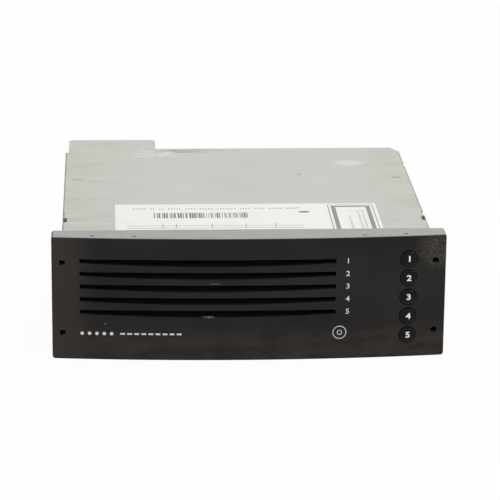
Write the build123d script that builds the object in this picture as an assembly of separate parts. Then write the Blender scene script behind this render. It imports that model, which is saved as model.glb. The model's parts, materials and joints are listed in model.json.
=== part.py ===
from build123d import *
import math
import os

# An in-dash changer for five 120 mm discs, in millimetres.
# X points right, Y back from the seat of the fascia, Z up from the middle of the face.
# The pieces are modelled there, and moved at the end so that the origin is under the middle.

# ---- Discs and trays -------------------------------------------------------------------------
DISC_DIAMETER = 120.0
DISC_THICKNESS = 1.2
TRAY_COUNT = 5
TRAY_PITCH = 6.32
TRAY_THICKNESS = 1.0
TRAY_MARGIN = 2.5           # tray beyond the disc on each side
TRAY_SHORT = 2.0            # how much shorter than a disc a tray is, front to back
TRAY_DROP = 0.85            # top of a tray below the middle of its slot
TRAY_RUN = 0.15             # clearance of a tray in its grooves
POCKET_DEPTH = 0.35
POCKET_MARGIN = 0.4
TRAY_RIM = 6.0              # tray left round its cut
TRAY_CUT_MARGIN = 6.0       # cut wider than the turntable, each side

# ---- Heights, from the floor of the chassis up -------------------------------------------------
SHEET = 0.8                 # steel of the chassis and the cover
ARM_RUN = 1.0               # swing arm above the floor
ARM_PLATE = 1.5
SPINDLE_HEIGHT = 3.8
SPINDLE_GAP = 0.3
TURNTABLE_HEIGHT = 2.4
CLAMP_LIFT = 2.7            # open clamp above the turntable
CLAMP_DISC_HEIGHT = 1.5
CLAMP_PLATE = 1.0
STACK_CLEARANCE = 1.42      # lowest tray above the clamp arm
SLOT_TO_LID = 6.45          # middle of the top slot to the top of the cover

BODY_HEIGHT = (SHEET + ARM_RUN + ARM_PLATE + SPINDLE_HEIGHT + SPINDLE_GAP + TURNTABLE_HEIGHT
               + CLAMP_LIFT + CLAMP_DISC_HEIGHT + CLAMP_PLATE + STACK_CLEARANCE
               + TRAY_THICKNESS + TRAY_DROP + (TRAY_COUNT - 1) * TRAY_PITCH + SLOT_TO_LID)
BODY_TOP = BODY_HEIGHT / 2
BODY_BOTTOM = -BODY_HEIGHT / 2
FLOOR = BODY_BOTTOM + SHEET
LID = BODY_TOP - SHEET      # underside of the cover
ARM_Z = FLOOR + ARM_RUN
DECK = ARM_Z + ARM_PLATE    # top of the swing arm's plate
TURNTABLE_Z = DECK + SPINDLE_HEIGHT + SPINDLE_GAP
DISC_SEAT = TURNTABLE_Z + TURNTABLE_HEIGHT
CLAMP_Z = DISC_SEAT + CLAMP_LIFT
CLAMP_ARM_Z = CLAMP_Z + CLAMP_DISC_HEIGHT
CLAMP_TOP = CLAMP_ARM_Z + CLAMP_PLATE
STACK_Z = CLAMP_TOP + STACK_CLEARANCE

# ---- Plan of the chassis -----------------------------------------------------------------------
LEFT_BAY = 5.35             # inner left wall to the trays
RIGHT_BAY = 44.95           # trays to the inner right wall
FRONT_BAY = 24.0
REAR_BAY = 24.0
EXTENSION = 18.4            # rear left corner behind the rest of the body
EXTENSION_WIDTH = 46.4
EXTENSION_INSET = 0.85
EXTENSION_CORNER = 2.5      # rounding of its two rear corners
CHAMFER_X = 3.0             # rear right corner
CHAMFER_Y = 7.0

TRAY_WIDTH = DISC_DIAMETER + 2 * TRAY_MARGIN
TRAY_DEPTH = DISC_DIAMETER - TRAY_SHORT
BODY_WIDTH = 4 * SHEET + LEFT_BAY + TRAY_WIDTH + RIGHT_BAY
BODY_DEPTH = FRONT_BAY + TRAY_DEPTH + REAR_BAY
CHASSIS_X = BODY_WIDTH / 2 - SHEET
INNER_X = CHASSIS_X - SHEET
INNER_BACK = BODY_DEPTH - SHEET
EXTENSION_BACK = BODY_DEPTH + EXTENSION
EXTENSION_LEFT = -CHASSIS_X + EXTENSION_INSET
EXTENSION_RIGHT = EXTENSION_LEFT + EXTENSION_WIDTH
TRAY_LEFT = -INNER_X + LEFT_BAY
TRAY_RIGHT = TRAY_LEFT + TRAY_WIDTH
TRAY_FRONT = FRONT_BAY
TRAY_BACK = TRAY_FRONT + TRAY_DEPTH
DISC_X = (TRAY_LEFT + TRAY_RIGHT) / 2
DISC_Y = (TRAY_FRONT + TRAY_BACK) / 2

# ---- Fascia --------------------------------------------------------------------------------------
FACE_LIP_SIDE = 4.75        # fascia beyond the body
FACE_LIP_TOP = 5.25
RIM_DEPTH = 10.0            # at the two ends of the face
BOW = 5.2                   # middle of the face in front of its ends
PANEL_WALL = 2.4
FACE_SILL = 0.45            # how much thicker the lower wall of the rim is
FACE_CORNER = 1.5
FACE_EDGE = 0.5
FACE_WIDTH = BODY_WIDTH + 2 * FACE_LIP_SIDE
FACE_HEIGHT = BODY_HEIGHT + 2 * FACE_LIP_TOP
BOW_RADIUS = ((FACE_WIDTH / 2) ** 2 + BOW ** 2) / (2 * BOW)
BOW_CENTRE = BOW_RADIUS - RIM_DEPTH - BOW
RIM_X = FACE_WIDTH / 2 - PANEL_WALL      # inside of the rim
RIM_Z = FACE_HEIGHT / 2 - PANEL_WALL
FACE_BOTTOM = -FACE_HEIGHT / 2 - FACE_SILL

SLOT_MARGIN = 1.55          # slot narrower than a tray on each side
SLOT_HEIGHT = 2.1
SLOT_SCOOP = 1.25           # extra height in the middle, for a finger
SLOT_LEFT = TRAY_LEFT + SLOT_MARGIN
SLOT_RIGHT = TRAY_RIGHT - SLOT_MARGIN

FRAME_PLATE = 2.0           # carrier behind the fascia
FRAME_FIT = 0.15
FRAME_SLOT = 1.3            # half height of the slots in the carrier
RIB = 1.6
RIB_FIT = 0.3
LIP_THICKNESS = 0.8         # rubber dust lips
LIP_GAP = 0.15

HOOKS_X = (54.8, 74.6)      # snap hooks from the middle, each side, top and bottom
HOOK_WINDOW = 2.0
HOOK_WINDOW_DEPTH = 1.2
HOOK_FIT = 0.1
HOOK_ARM = 0.7
HOOK_RISE = 1.2

# ---- Buttons ---------------------------------------------------------------------------------------
BUTTON_INSET = 18.0         # buttons from the right end of the face
BUTTON_MIDDLE = -0.45
BUTTON_PITCH = 9.55
BUTTON_HOLE_R = 4.25
BUTTON_R = 3.9
BUTTON_FLANGE_R = 4.6
BUTTON_FLANGE = 0.8
BUTTON_PROUD = 0.35         # rim of the cap in front of the face
BUTTON_DOME = 0.9
BUTTON_STEM_R = 1.4
BUTTON_REST = 0.1           # flange behind the wall of the panel
BUTTON_X = FACE_WIDTH / 2 - BUTTON_INSET
KEY_BOARD = 1.6
KEY_BOARD_REACH = 6.5       # board beyond the buttons on the right
KEY_BOARD_GAP = 2.4         # board to the right of the slots
KEY_BOARD_Z = 25.5
SWITCH = 4.5
SWITCH_HEIGHT = 2.0
SWITCH_BORE_R = 1.6
SWITCH_BORE = 1.7
STEM_IN_SWITCH = 0.6
LED_INSET = 3.35            # lamps from the left edge of the key board
LED = 1.6
LED_HEIGHT = 0.9

# ---- Locks for the release keys ------------------------------------------------------------------
RELEASE_OUT = 0.55          # key holes outside the chassis wall
RELEASE_Z = 17.5
RELEASE_R = 1.5
RELEASE_X = CHASSIS_X + RELEASE_OUT
LEAF = 0.6
LEAF_GAP = 0.02
LEAF_HALF = 19.0
LEAF_HINGE_Y = 8.0
LEAF_SPLIT = 0.1
LEAF_BULGE = 1.93           # out from the hinge line
LEAF_BULGE_Y = 23.0
LEAF_FLAT_Y = 28.0
LEAF_TAIL = 0.5             # tail inside the hinge line
LEAF_TAIL_Y = 34.0
LEAF_NOTCH = 3.0
TAB_FRONT_Y = 2.5
LOCK_WINDOW = (7.6, 41.0)
LOCK_WINDOW_Z = 20.5
RIVET_R = 1.0
RIVET_Z = 12.0
LEAF_X = CHASSIS_X + LEAF_GAP + LEAF / 2

VENT = 2.4                  # width of a ventilation slot
REAR_VENTS = 8
REAR_VENT_INSET = 12.0
REAR_VENT_PITCH = 7.0
REAR_VENT = (4.2, 14.2)     # down from the underside of the cover
FLOOR_VENTS = 7
FLOOR_VENT_PITCH = 11.0
FLOOR_VENT_Y = (96.0, 124.0)

# ---- Cover -----------------------------------------------------------------------------------------
FLANGE_FRONT = 47.0
FLANGE_END = 7.0            # flange ends this far before the back of the body
FLANGE_DROP = 16.0
FLANGE_NOTCH = (129.0, 136.0)
SLIT_X = 82.5
SLIT_Y = 107.0
SLIT = (5.0, 0.6)
PAD_X = (67.0, 86.0)
PAD_Y = (12.0, 17.0)
PAD_RISE = 0.5
COVER_FOLD = 0.6            # outer rounding of the folded edges
FRONT_TAB_Y = (18.0, 40.0)  # short flange above each lock spring
FRONT_TAB_DROP = 4.0
EDGE_NOTCH_Y = (31.0, 38.0)
EDGE_NOTCH = 1.3            # notch in the edge, inside and outside the chassis wall
EDGE_NOTCH_OUT = 0.4
EDGE_NOTCH_DROP = 3.0
LABEL = (130.0, 50.0)
LABEL_THICKNESS = 0.12
LABEL_X = 1.5
LABEL_FRONT = 10.0
COVER_SCREW_INSETS = (13.0, 9.0)    # from the front and the back end of a flange
COVER_SCREWS_Y = (FLANGE_FRONT + COVER_SCREW_INSETS[0], BODY_DEPTH - FLANGE_END - COVER_SCREW_INSETS[1])
COVER_SCREW_DROP = 10.0
COVER_HEAD_R = 2.4
COVER_SHANK_R = 1.25
COVER_SCREW_LENGTH = 3.4

# ---- Screws of the boards and the carrier ---------------------------------------------------------
SCREW_R = 1.25
SCREW_HOLE_R = 1.3
HEAD_R = 2.2
HEAD = 1.2
FRAME_SCREW_INSET = 2.95    # from the side of the chassis
FRAME_SCREW_Z = 21.0
FRAME_SCREW_GRIP = 2.5

# ---- Racks and carriage ----------------------------------------------------------------------------
RACK = 3.0
RACK_GRIP = 1.3             # tray inside its rack
RACK_GROOVE = 1.6
RACK_END = 1.0              # rack beyond the back of the trays
RACK_TOP = 2.2              # under the cover
RACK_LIFT = 0.3             # right rack above the clamp arm
RACK_FOOT = 5.0
RACK_ARM_TOP = 6.0
LEFT_RACK_X = TRAY_LEFT + RACK_GRIP       # its inner face
RIGHT_RACK_X = TRAY_RIGHT - RACK_GRIP

POST_R = 1.5
POST_RUN = 0.05
LEFT_POST = (-85.2, 14.0)
ROLLER_Y = 10.0
ROLLER_R = 2.5
ROLLER_SHAFT_R = 1.0
SHAFT_RUN = 0.05
CARRIAGE_GAP = 0.45         # to the chassis wall
CARRIAGE_FRONT = 4.0
BLOCK = (4.8, 13.5)         # left bearing block, across and front to back
SHELF_DROP = 8.6
SHELF = 1.2
SHELF_BACK = 20.0
BAR_LIFT = 1.3
BAR = (8.0, 1.5)
CHEEK_GAP = 0.4
CHEEK = 2.0
CHEEK_BACK = 21.5
GEAR_GAP = 0.4
GEAR_WIDTH = 2.2
GEARBOX_GAP = 0.8
GEARBOX = 1.2
GEARBOX_BACK = 29.0
ROLLER_MODULE = 0.5
ROLLER_TEETH = 14
IDLER_TEETH = 14
PINION_TEETH = 10
MOTOR_R = 6.0
LOADING_MOTOR = 18.0
MOTOR_SHAFT_R = 0.75
MOTOR_BORE = 2.0
CHEEK_X = RIGHT_RACK_X + RACK + CHEEK_GAP
GEAR_X = CHEEK_X + CHEEK + GEAR_GAP
GEARBOX_X = GEAR_X + GEAR_WIDTH + GEARBOX_GAP
LOADING_MOTOR_X = GEARBOX_X + GEARBOX
RIGHT_POST = (LOADING_MOTOR_X + 2.6, 8.0)
POST_BOSS_R = 3.2
IDLER_Y = ROLLER_Y + ROLLER_MODULE * (ROLLER_TEETH + IDLER_TEETH) / 2
PINION_Y = IDLER_Y + ROLLER_MODULE * (IDLER_TEETH + PINION_TEETH) / 2
MOTOR_SHELF_BACK = 16.5     # shelf in front of the loading motor

# ---- Lift -------------------------------------------------------------------------------------------
LIFT_INSET = 9.65           # lift screw from the inner right wall
LIFT_Y = 12.0
LIFT_R = 1.5
LIFT_RUN = 0.05
LIFT_END = 0.8
NUT_R = 4.0
NUT_HEIGHT = 8.0
PULLEY_R = 4.0
PULLEY_GROOVE_R = 3.05
PULLEY_CENTRES = 12.0
PULLEY = 2.2
PULLEY_FLANGE = 0.4
PULLEY_LIFT = 0.5
BELT = 0.75
BELT_RUN = 0.05
BELT_SIDE = 0.2
BRACKET_GAP = 0.5
BRACKET = 0.8
BRACKET_FOOT = 5.0
LIFT_MOTOR = 16.0
LIFT_X = INNER_X - LIFT_INSET
LIFT_MOTOR_Y = LIFT_Y + PULLEY_CENTRES
PULLEY_Z = FLOOR + PULLEY_LIFT
LIFT_BRACKET_Z = PULLEY_Z + PULLEY + BRACKET_GAP
LIFT_MOTOR_Z = LIFT_BRACKET_Z + BRACKET

# ---- Swing arm with turntable, pickup and clamp ------------------------------------------------------
PIVOT_GAP = 15.3            # pivot to the right of the trays
PIVOT_INSET = 12.0          # pivot in front of the back of the body
PIVOT_R = 3.0
PIVOT_RUN = 0.05
PIVOT_FLANGE = (7.0, 0.8)
CLIP = (4.5, 0.6)
ARM_TIP_R = 15.0
ARM_END_R = 10.5
ARM_HALF = 18.0
ARM_RIB = (0.8, 2.0)
ARM_MODULE = 0.8
ARM_TEETH = 24
ARM_PINION_TEETH = 10
ARM_GEAR = 3.0
ARM_PINION_GAP = 0.3
ARM_BRACKET_LIFT = 0.15
ARM_BRACKET_FRONT = 7.0     # bracket in front of the pinion's axis
ARM_BRACKET_HALF = 7.6
ARM_BRACKET_RISE = 9.0
ARM_MOTOR = 15.0
SPINDLE_R = 11.0
SPINDLE_SHAFT_R = 1.0
TURNTABLE_R = 14.0
CONE_R = 7.4
CONE_TIP_R = 6.4
CONE = 1.3
CLAMP_R = 13.0
CLAMP_RECESS = (8.0, 1.0)
CLAMP_HALF = 6.0
CLAMP_STUD_R = 1.5
CLAMP_STUD_HEAD_R = 2.8
EAR_GAP = 0.3
EAR = 1.7
EAR_LENGTH = 6.0
HINGE_PIN_R = 0.8
HINGE_BARREL_R = 1.45
HINGE_INSET = 15.0          # clamp hinge in front of the pivot
BLOCK_FRONT = 15.0          # rod blocks, back from the spindle
BLOCK_INSET = 25.3          # rear rod block in front of the pivot
BLOCK_WIDTH = 2.0
BLOCK_TOP = 4.8
ROD_R = 1.0
ROD_U = 10.0
ROD_LIFT = 2.0
SLED_R = 1.25
SLED_U = 15.5
SLED_LIFT = 3.1
SLED_MOTOR = (3.0, 10.0)
SLIDE_RUN = 0.05
PICKUP_FRONT = 19.0
PICKUP = (28.0, 22.0)
PICKUP_LIFT = 0.3
PICKUP_HEIGHT = 5.4
LENS_R = 3.5
LENS = 0.4
LENS_V = 25.0
NUT_TONGUE = (27.0, 33.0)

PIVOT_X = TRAY_RIGHT + PIVOT_GAP
PIVOT_Y = BODY_DEPTH - PIVOT_INSET
ARM_LENGTH = math.hypot(PIVOT_X - DISC_X, PIVOT_Y - DISC_Y)
TIP_Y = PIVOT_Y - ARM_LENGTH
ARM_SWING = math.degrees(math.atan2(PIVOT_X - DISC_X, PIVOT_Y - DISC_Y))
ARM_PINION_X = PIVOT_X + ARM_MODULE * (ARM_TEETH + ARM_PINION_TEETH) / 2
HINGE_V = ARM_LENGTH - HINGE_INSET
BLOCK_BACK = ARM_LENGTH - BLOCK_INSET
HINGE_Z = CLAMP_TOP - HINGE_BARREL_R - 0.05
ARM_BRACKET_Z = DECK + ARM_GEAR + ARM_BRACKET_LIFT

# ---- Electronics -------------------------------------------------------------------------------------
BOARD = 1.6
BOARD_STANDOFF = 2.5
STANDOFF_R = 2.3
BOARD_Y = (48.0, 138.0)
BOARD_Z = (-7.0, 21.0)
BOARD_HOLE_INSET = 2.4
CAPACITOR_R = 4.0
CAPACITOR = 11.0
CAPACITOR_PITCH = 12.0
CAPACITOR_COUNT = 3
CAPACITOR_EDGE = 1.5        # cans from the lower edge of the board
# The packages on the main board: back and up from its lower front corner, size, thickness.
CHIPS = ((14.0, 19.0, 14.0, 1.8), (36.0, 19.0, 18.0, 2.0), (56.0, 20.0, 10.0, 1.4),
         (56.0, 6.0, 8.0, 1.4), (74.0, 6.0, 7.0, 1.2))
CONNECTOR = (33.6, 20.0, 12.4)
CONNECTOR_INSET = 22.6      # its middle from the left side of the extension
CONNECTOR_Z = 9.0
CONNECTOR_FIT = 0.2
CONNECTOR_WALL = 1.8
SOCKET_DEPTH = 10.0
CONNECTOR_FLANGE = (2.0, 1.6)
PIN = 0.8
PIN_LENGTH = 4.6
PIN_PITCH = 2.8
PIN_ROW = 6.0
PIN_COLUMNS = 10
RIBBON = 0.5
RIBBON_Z = (7.0, 15.0)
RIBBON_BACK = 3.7           # in front of the rear wall
RIBBON_BEND = 3.0
BOARD_X = INNER_X - BOARD_STANDOFF - BOARD     # inner face of the main board
CONNECTOR_X = EXTENSION_LEFT + CONNECTOR_INSET


def slot_z(number):
    """Height of the middle of a slot, counted from 1 at the top."""
    return STACK_Z + TRAY_THICKNESS + TRAY_DROP + (TRAY_COUNT - number) * TRAY_PITCH


def bow_y(x, inset=0.0):
    """Y of the bowed face at x, or of a curve that lies inset behind it."""
    return BOW_CENTRE - math.sqrt((BOW_RADIUS - inset) ** 2 - x ** 2)


def block(x0, x1, y0, y1, z0, z1):
    """A rectangular solid between two corners."""
    return Pos((x0 + x1) / 2, (y0 + y1) / 2, (z0 + z1) / 2) * Box(x1 - x0, y1 - y0, z1 - z0)


def upright(x, y, radius, z0, z1):
    """A round bar along Z."""
    return Pos(x, y, (z0 + z1) / 2) * Cylinder(radius, z1 - z0)


def across(y, z, radius, x0, x1):
    """A round bar along X."""
    return Pos((x0 + x1) / 2, y, z) * Rot(0, 90, 0) * Cylinder(radius, x1 - x0)


def along(x, z, radius, y0, y1):
    """A round bar along Y."""
    return Pos(x, (y0 + y1) / 2, z) * Rot(90, 0, 0) * Cylinder(radius, y1 - y0)


def prism(points, z0, z1):
    """A solid between two heights over an outline of straight sides."""
    outline = make_face(Polyline(*points, close=True))
    return Pos(0, 0, z0) * extrude(outline, amount=z1 - z0)


def spur(teeth, module, width, bore_r, phase):
    """A spur gear about Z from 0 to width, with a tooth at the angle phase."""
    root_r = module * (teeth / 2 - 1.15)
    tip_r = module * (teeth / 2 + 0.8)
    step = 360 / teeth
    points = []
    for tooth in range(teeth):
        for share, radius in ((-0.33, root_r), (-0.11, tip_r), (0.11, tip_r), (0.33, root_r)):
            angle = math.radians(phase + (tooth + share) * step)
            points.append((radius * math.cos(angle), radius * math.sin(angle)))
    gear = prism(points, 0, width)
    if bore_r:
        gear -= upright(0, 0, bore_r, -1, width + 1)
    return gear


def mirrored(shape):
    """A shape and its mirror image on the other side of the middle plane."""
    return [shape, mirror(shape, Plane.YZ)]


# ---- Fascia ------------------------------------------------------------------------------------------

def bowed_block(half_x, inset, back, z0, z1):
    """A block whose front follows the bow of the face."""
    plan = Line((half_x, back), (half_x, bow_y(half_x, inset)))
    plan += ThreePointArc((half_x, bow_y(half_x, inset)), (0, bow_y(0, inset)),
                          (-half_x, bow_y(half_x, inset)))
    plan += Line((-half_x, bow_y(half_x, inset)), (-half_x, back))
    plan += Line((-half_x, back), (half_x, back))
    return Pos(0, 0, z0) * extrude(make_face(plan), amount=z1 - z0)


def slot_cutter(number):
    """The space of one disc slot: level above, scooped below."""
    top = slot_z(number) + SLOT_HEIGHT / 2
    low = top - SLOT_HEIGHT
    profile = Line((SLOT_LEFT, low), (SLOT_LEFT, top))
    profile += Line((SLOT_LEFT, top), (SLOT_RIGHT, top))
    profile += Line((SLOT_RIGHT, top), (SLOT_RIGHT, low))
    profile += ThreePointArc((SLOT_RIGHT, low), (DISC_X, low - SLOT_SCOOP), (SLOT_LEFT, low))
    return extrude(Plane.XZ * make_face(profile), amount=RIM_DEPTH + 2 * BOW)


def button_z(number):
    """Height of a button, counted from 1 at the top."""
    middle_number = (TRAY_COUNT + 1) / 2
    return BUTTON_MIDDLE + (middle_number - number) * BUTTON_PITCH


def hook_places():
    """X and the up or down sense of each snap hook."""
    return [(side * x, sense) for x in HOOKS_X for side in (-1, 1) for sense in (-1, 1)]


def hook_window_y(x):
    """Front and back of a snap window, just behind the front wall."""
    front = bow_y(x, PANEL_WALL)
    return front + HOOK_FIT, front + HOOK_FIT + HOOK_WINDOW_DEPTH


def front_panel():
    """The bowed black fascia, a hollow shell open behind."""
    shell = bowed_block(FACE_WIDTH / 2, 0, 0, FACE_BOTTOM, FACE_HEIGHT / 2)
    shell = fillet(shell.edges().filter_by(Axis.Y), FACE_CORNER)
    front_edges = shell.faces().sort_by(Axis.Y)[0].edges()
    shell = fillet(front_edges, FACE_EDGE)
    shell -= bowed_block(RIM_X, PANEL_WALL, 1, -RIM_Z, RIM_Z)
    for number in range(1, TRAY_COUNT + 1):
        shell -= slot_cutter(number)
        shell -= along(BUTTON_X, button_z(number), BUTTON_HOLE_R, -RIM_DEPTH - 2 * BOW, -1)
    for x, sense in hook_places():
        front, back = hook_window_y(x)
        low, high = sorted((sense * (RIM_Z - 1), sense * (1 - FACE_BOTTOM)))
        shell -= block(x - HOOK_WINDOW / 2, x + HOOK_WINDOW / 2, front, back, low, high)
    for side in (-1, 1):
        for height in (-RELEASE_Z, RELEASE_Z):
            shell -= along(side * RELEASE_X, height, RELEASE_R, -RIM_DEPTH - 2 * BOW, -1)
    return shell


def front_frame():
    """The carrier inside the fascia: plate, guide ribs and snap hooks."""
    half_x = RIM_X - FRAME_FIT
    half_z = RIM_Z - FRAME_FIT
    frame = block(-half_x, half_x, -FRAME_PLATE, 0, -half_z, half_z)
    ribs = bowed_block(RIM_X, PANEL_WALL + RIB_FIT, -FRAME_PLATE, -half_z, half_z)
    for number in range(TRAY_COUNT + 1):
        middle = slot_z(number) - TRAY_PITCH / 2
        frame += ribs & block(SLOT_LEFT, SLOT_RIGHT, -RIM_DEPTH - 2 * BOW, -FRAME_PLATE,
                              middle - RIB / 2, middle + RIB / 2)
    for x, sense in hook_places():
        front, back = hook_window_y(x)
        half = HOOK_WINDOW / 2 - HOOK_FIT
        low, high = sorted((sense * (half_z - HOOK_ARM), sense * half_z))
        frame += block(x - half, x + half, front + HOOK_FIT, 0, low, high)
        low, high = sorted((sense * half_z, sense * (half_z + HOOK_RISE)))
        frame += block(x - half, x + half, front + HOOK_FIT, back - HOOK_FIT, low, high)
    for number in range(1, TRAY_COUNT + 1):
        height = slot_z(number)
        frame -= block(SLOT_LEFT - 1, SLOT_RIGHT + 1, -FRAME_PLATE, 0,
                       height - FRAME_SLOT, height + FRAME_SLOT)
    for x, height in frame_screw_places():
        frame -= along(x, height, SCREW_HOLE_R, -FRAME_PLATE - 1, 1)
    for x, height in key_board_screw_places():
        frame -= along(x, height, SCREW_HOLE_R, -FRAME_PLATE - 1, 1)
    for side in (-1, 1):
        for height in (-RELEASE_Z, RELEASE_Z):
            frame -= along(side * RELEASE_X, height, RELEASE_R + 0.2, -FRAME_PLATE - 1, 1)
    return frame


def dust_lips():
    """Two rubber lips in front of each slot of the carrier."""
    reach = (TRAY_PITCH - RIB) / 2
    front = -FRAME_PLATE - LIP_THICKNESS
    lips = []
    for number in range(1, TRAY_COUNT + 1):
        for sense in (-1, 1):
            low, high = sorted((sense * LIP_GAP, sense * reach))
            lips.append(block(SLOT_LEFT - 1, SLOT_RIGHT + 1, front, -FRAME_PLATE,
                              slot_z(number) + low, slot_z(number) + high))
    return lips


def frame_screw_places():
    """X and Z of the screws that hold the carrier to the chassis."""
    x = CHASSIS_X - FRAME_SCREW_INSET
    return [(side * x, height) for side in (-1, 1) for height in (-FRAME_SCREW_Z, FRAME_SCREW_Z)]


def key_board_x():
    """Left and right edge of the key board."""
    return SLOT_RIGHT + KEY_BOARD_GAP, BUTTON_X + KEY_BOARD_REACH


def key_board_screw_places():
    """X and Z of the two screws of the key board."""
    left, right = key_board_x()
    return [((left + right) / 2, sense * (KEY_BOARD_Z - HEAD_R - 1)) for sense in (-1, 1)]


def key_board():
    """The printed board behind the buttons."""
    left, right = key_board_x()
    board = block(left, right, -FRAME_PLATE - KEY_BOARD, -FRAME_PLATE, -KEY_BOARD_Z, KEY_BOARD_Z)
    for x, height in key_board_screw_places():
        board -= along(x, height, SCREW_HOLE_R, -FRAME_PLATE - KEY_BOARD - 1, 0)
    return board


def key_switches():
    """One small push switch behind each button."""
    back = -FRAME_PLATE - KEY_BOARD
    front = back - SWITCH_HEIGHT
    switches = []
    for number in range(1, TRAY_COUNT + 1):
        height = button_z(number)
        housing = block(BUTTON_X - SWITCH / 2, BUTTON_X + SWITCH / 2, front, back,
                        height - SWITCH / 2, height + SWITCH / 2)
        switches.append(housing - along(BUTTON_X, height, SWITCH_BORE_R, front - 1, front + SWITCH_BORE))
    return switches


def board_leds():
    """A small lamp on the key board beside each slot."""
    back = -FRAME_PLATE - KEY_BOARD
    x = key_board_x()[0] + LED_INSET
    return [block(x - LED / 2, x + LED / 2, back - LED_HEIGHT, back,
                  slot_z(number) - LED / 2, slot_z(number) + LED / 2)
            for number in range(1, TRAY_COUNT + 1)]


def button(number):
    """A round domed button with its retaining flange and stem."""
    rim = bow_y(BUTTON_X) - BUTTON_PROUD
    flange = bow_y(BUTTON_X + BUTTON_FLANGE_R, PANEL_WALL) + BUTTON_REST
    tip = -FRAME_PLATE - KEY_BOARD - SWITCH_HEIGHT + STEM_IN_SWITCH
    crown_side = BUTTON_R * math.sin(math.radians(40))
    crown_rise = BUTTON_DOME * math.cos(math.radians(40))
    profile = ThreePointArc((0, rim - BUTTON_DOME), (crown_side, rim - crown_rise), (BUTTON_R, rim))
    profile += Polyline((BUTTON_R, rim), (BUTTON_R, flange), (BUTTON_FLANGE_R, flange),
                        (BUTTON_FLANGE_R, flange + BUTTON_FLANGE), (BUTTON_STEM_R, flange + BUTTON_FLANGE),
                        (BUTTON_STEM_R, tip), (0, tip), (0, rim - BUTTON_DOME))
    body = revolve(make_face(profile), Axis.Y)
    return Pos(BUTTON_X, 0, button_z(number)) * body


# ---- Chassis and cover ---------------------------------------------------------------------------------

def footprint():
    """The body in plan, with the two rear corners of its extension rounded."""
    corners = [(-CHASSIS_X, 0), (-CHASSIS_X, BODY_DEPTH - CHAMFER_Y), (EXTENSION_LEFT, BODY_DEPTH - CHAMFER_Y),
               (EXTENSION_LEFT, EXTENSION_BACK), (EXTENSION_RIGHT, EXTENSION_BACK),
               (EXTENSION_RIGHT, BODY_DEPTH), (CHASSIS_X - CHAMFER_X, BODY_DEPTH),
               (CHASSIS_X, BODY_DEPTH - CHAMFER_Y), (CHASSIS_X, 0)]
    outline = make_face(Polyline(*corners, close=True))
    return fillet(outline.vertices().group_by(Axis.Y)[-1], EXTENSION_CORNER)


def chassis():
    """The folded steel tub, open above, with its windows and holes."""
    outline = footprint()
    room = offset(outline, amount=-SHEET, kind=Kind.INTERSECTION)
    tub = Pos(0, 0, BODY_BOTTOM) * extrude(outline, amount=LID - BODY_BOTTOM)
    tub -= Pos(0, 0, FLOOR) * extrude(room, amount=BODY_HEIGHT)
    window_x = CHASSIS_X - 2 * FRAME_SCREW_INSET
    tub -= block(-window_x, window_x, -1, SHEET, -FRAME_SCREW_Z - 0.5, FRAME_SCREW_Z + 1)
    for x, height in frame_screw_places():
        tub -= along(x, height, SCREW_HOLE_R, -1, SHEET + 1)
    for side in (-1, 1):
        outer, inner = side * (CHASSIS_X + 1), side * (INNER_X - 0.3)
        left, right = sorted((outer, inner))
        tub -= block(left, right, *LOCK_WINDOW, -LOCK_WINDOW_Z, LOCK_WINDOW_Z)
        for height in (-RELEASE_Z, RELEASE_Z):
            tub -= block(left, right, -1, SHEET + 0.7, height - RELEASE_R - 0.3, height + RELEASE_R + 0.3)
        for height in (-RIVET_Z, RIVET_Z):
            tub -= across((TAB_FRONT_Y + LEAF_HINGE_Y) / 2, height, RIVET_R, left, right)
        for y in COVER_SCREWS_Y:
            tub -= across(y, BODY_TOP - COVER_SCREW_DROP, COVER_SHANK_R + 0.05, left, right)
        tub -= block(left, right, *EDGE_NOTCH_Y, BODY_TOP - EDGE_NOTCH_DROP, LID + 1)
    width, height, _ = CONNECTOR
    tub -= block(CONNECTOR_X - width / 2 - CONNECTOR_FIT, CONNECTOR_X + width / 2 + CONNECTOR_FIT,
                 EXTENSION_BACK - SHEET - 1, EXTENSION_BACK + 1,
                 CONNECTOR_Z - height / 2 - CONNECTOR_FIT, CONNECTOR_Z + height / 2 + CONNECTOR_FIT)
    for column in range(REAR_VENTS):
        x = EXTENSION_RIGHT + REAR_VENT_INSET + column * REAR_VENT_PITCH
        tub -= block(x, x + VENT, INNER_BACK - 1, BODY_DEPTH + 1, LID - REAR_VENT[1], LID - REAR_VENT[0])
    for column in range(FLOOR_VENTS):
        x = (column - (FLOOR_VENTS - 1) / 2) * FLOOR_VENT_PITCH
        tub -= block(x - VENT / 2, x + VENT / 2, *FLOOR_VENT_Y, BODY_BOTTOM - 1, FLOOR + 1)
    return tub


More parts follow.
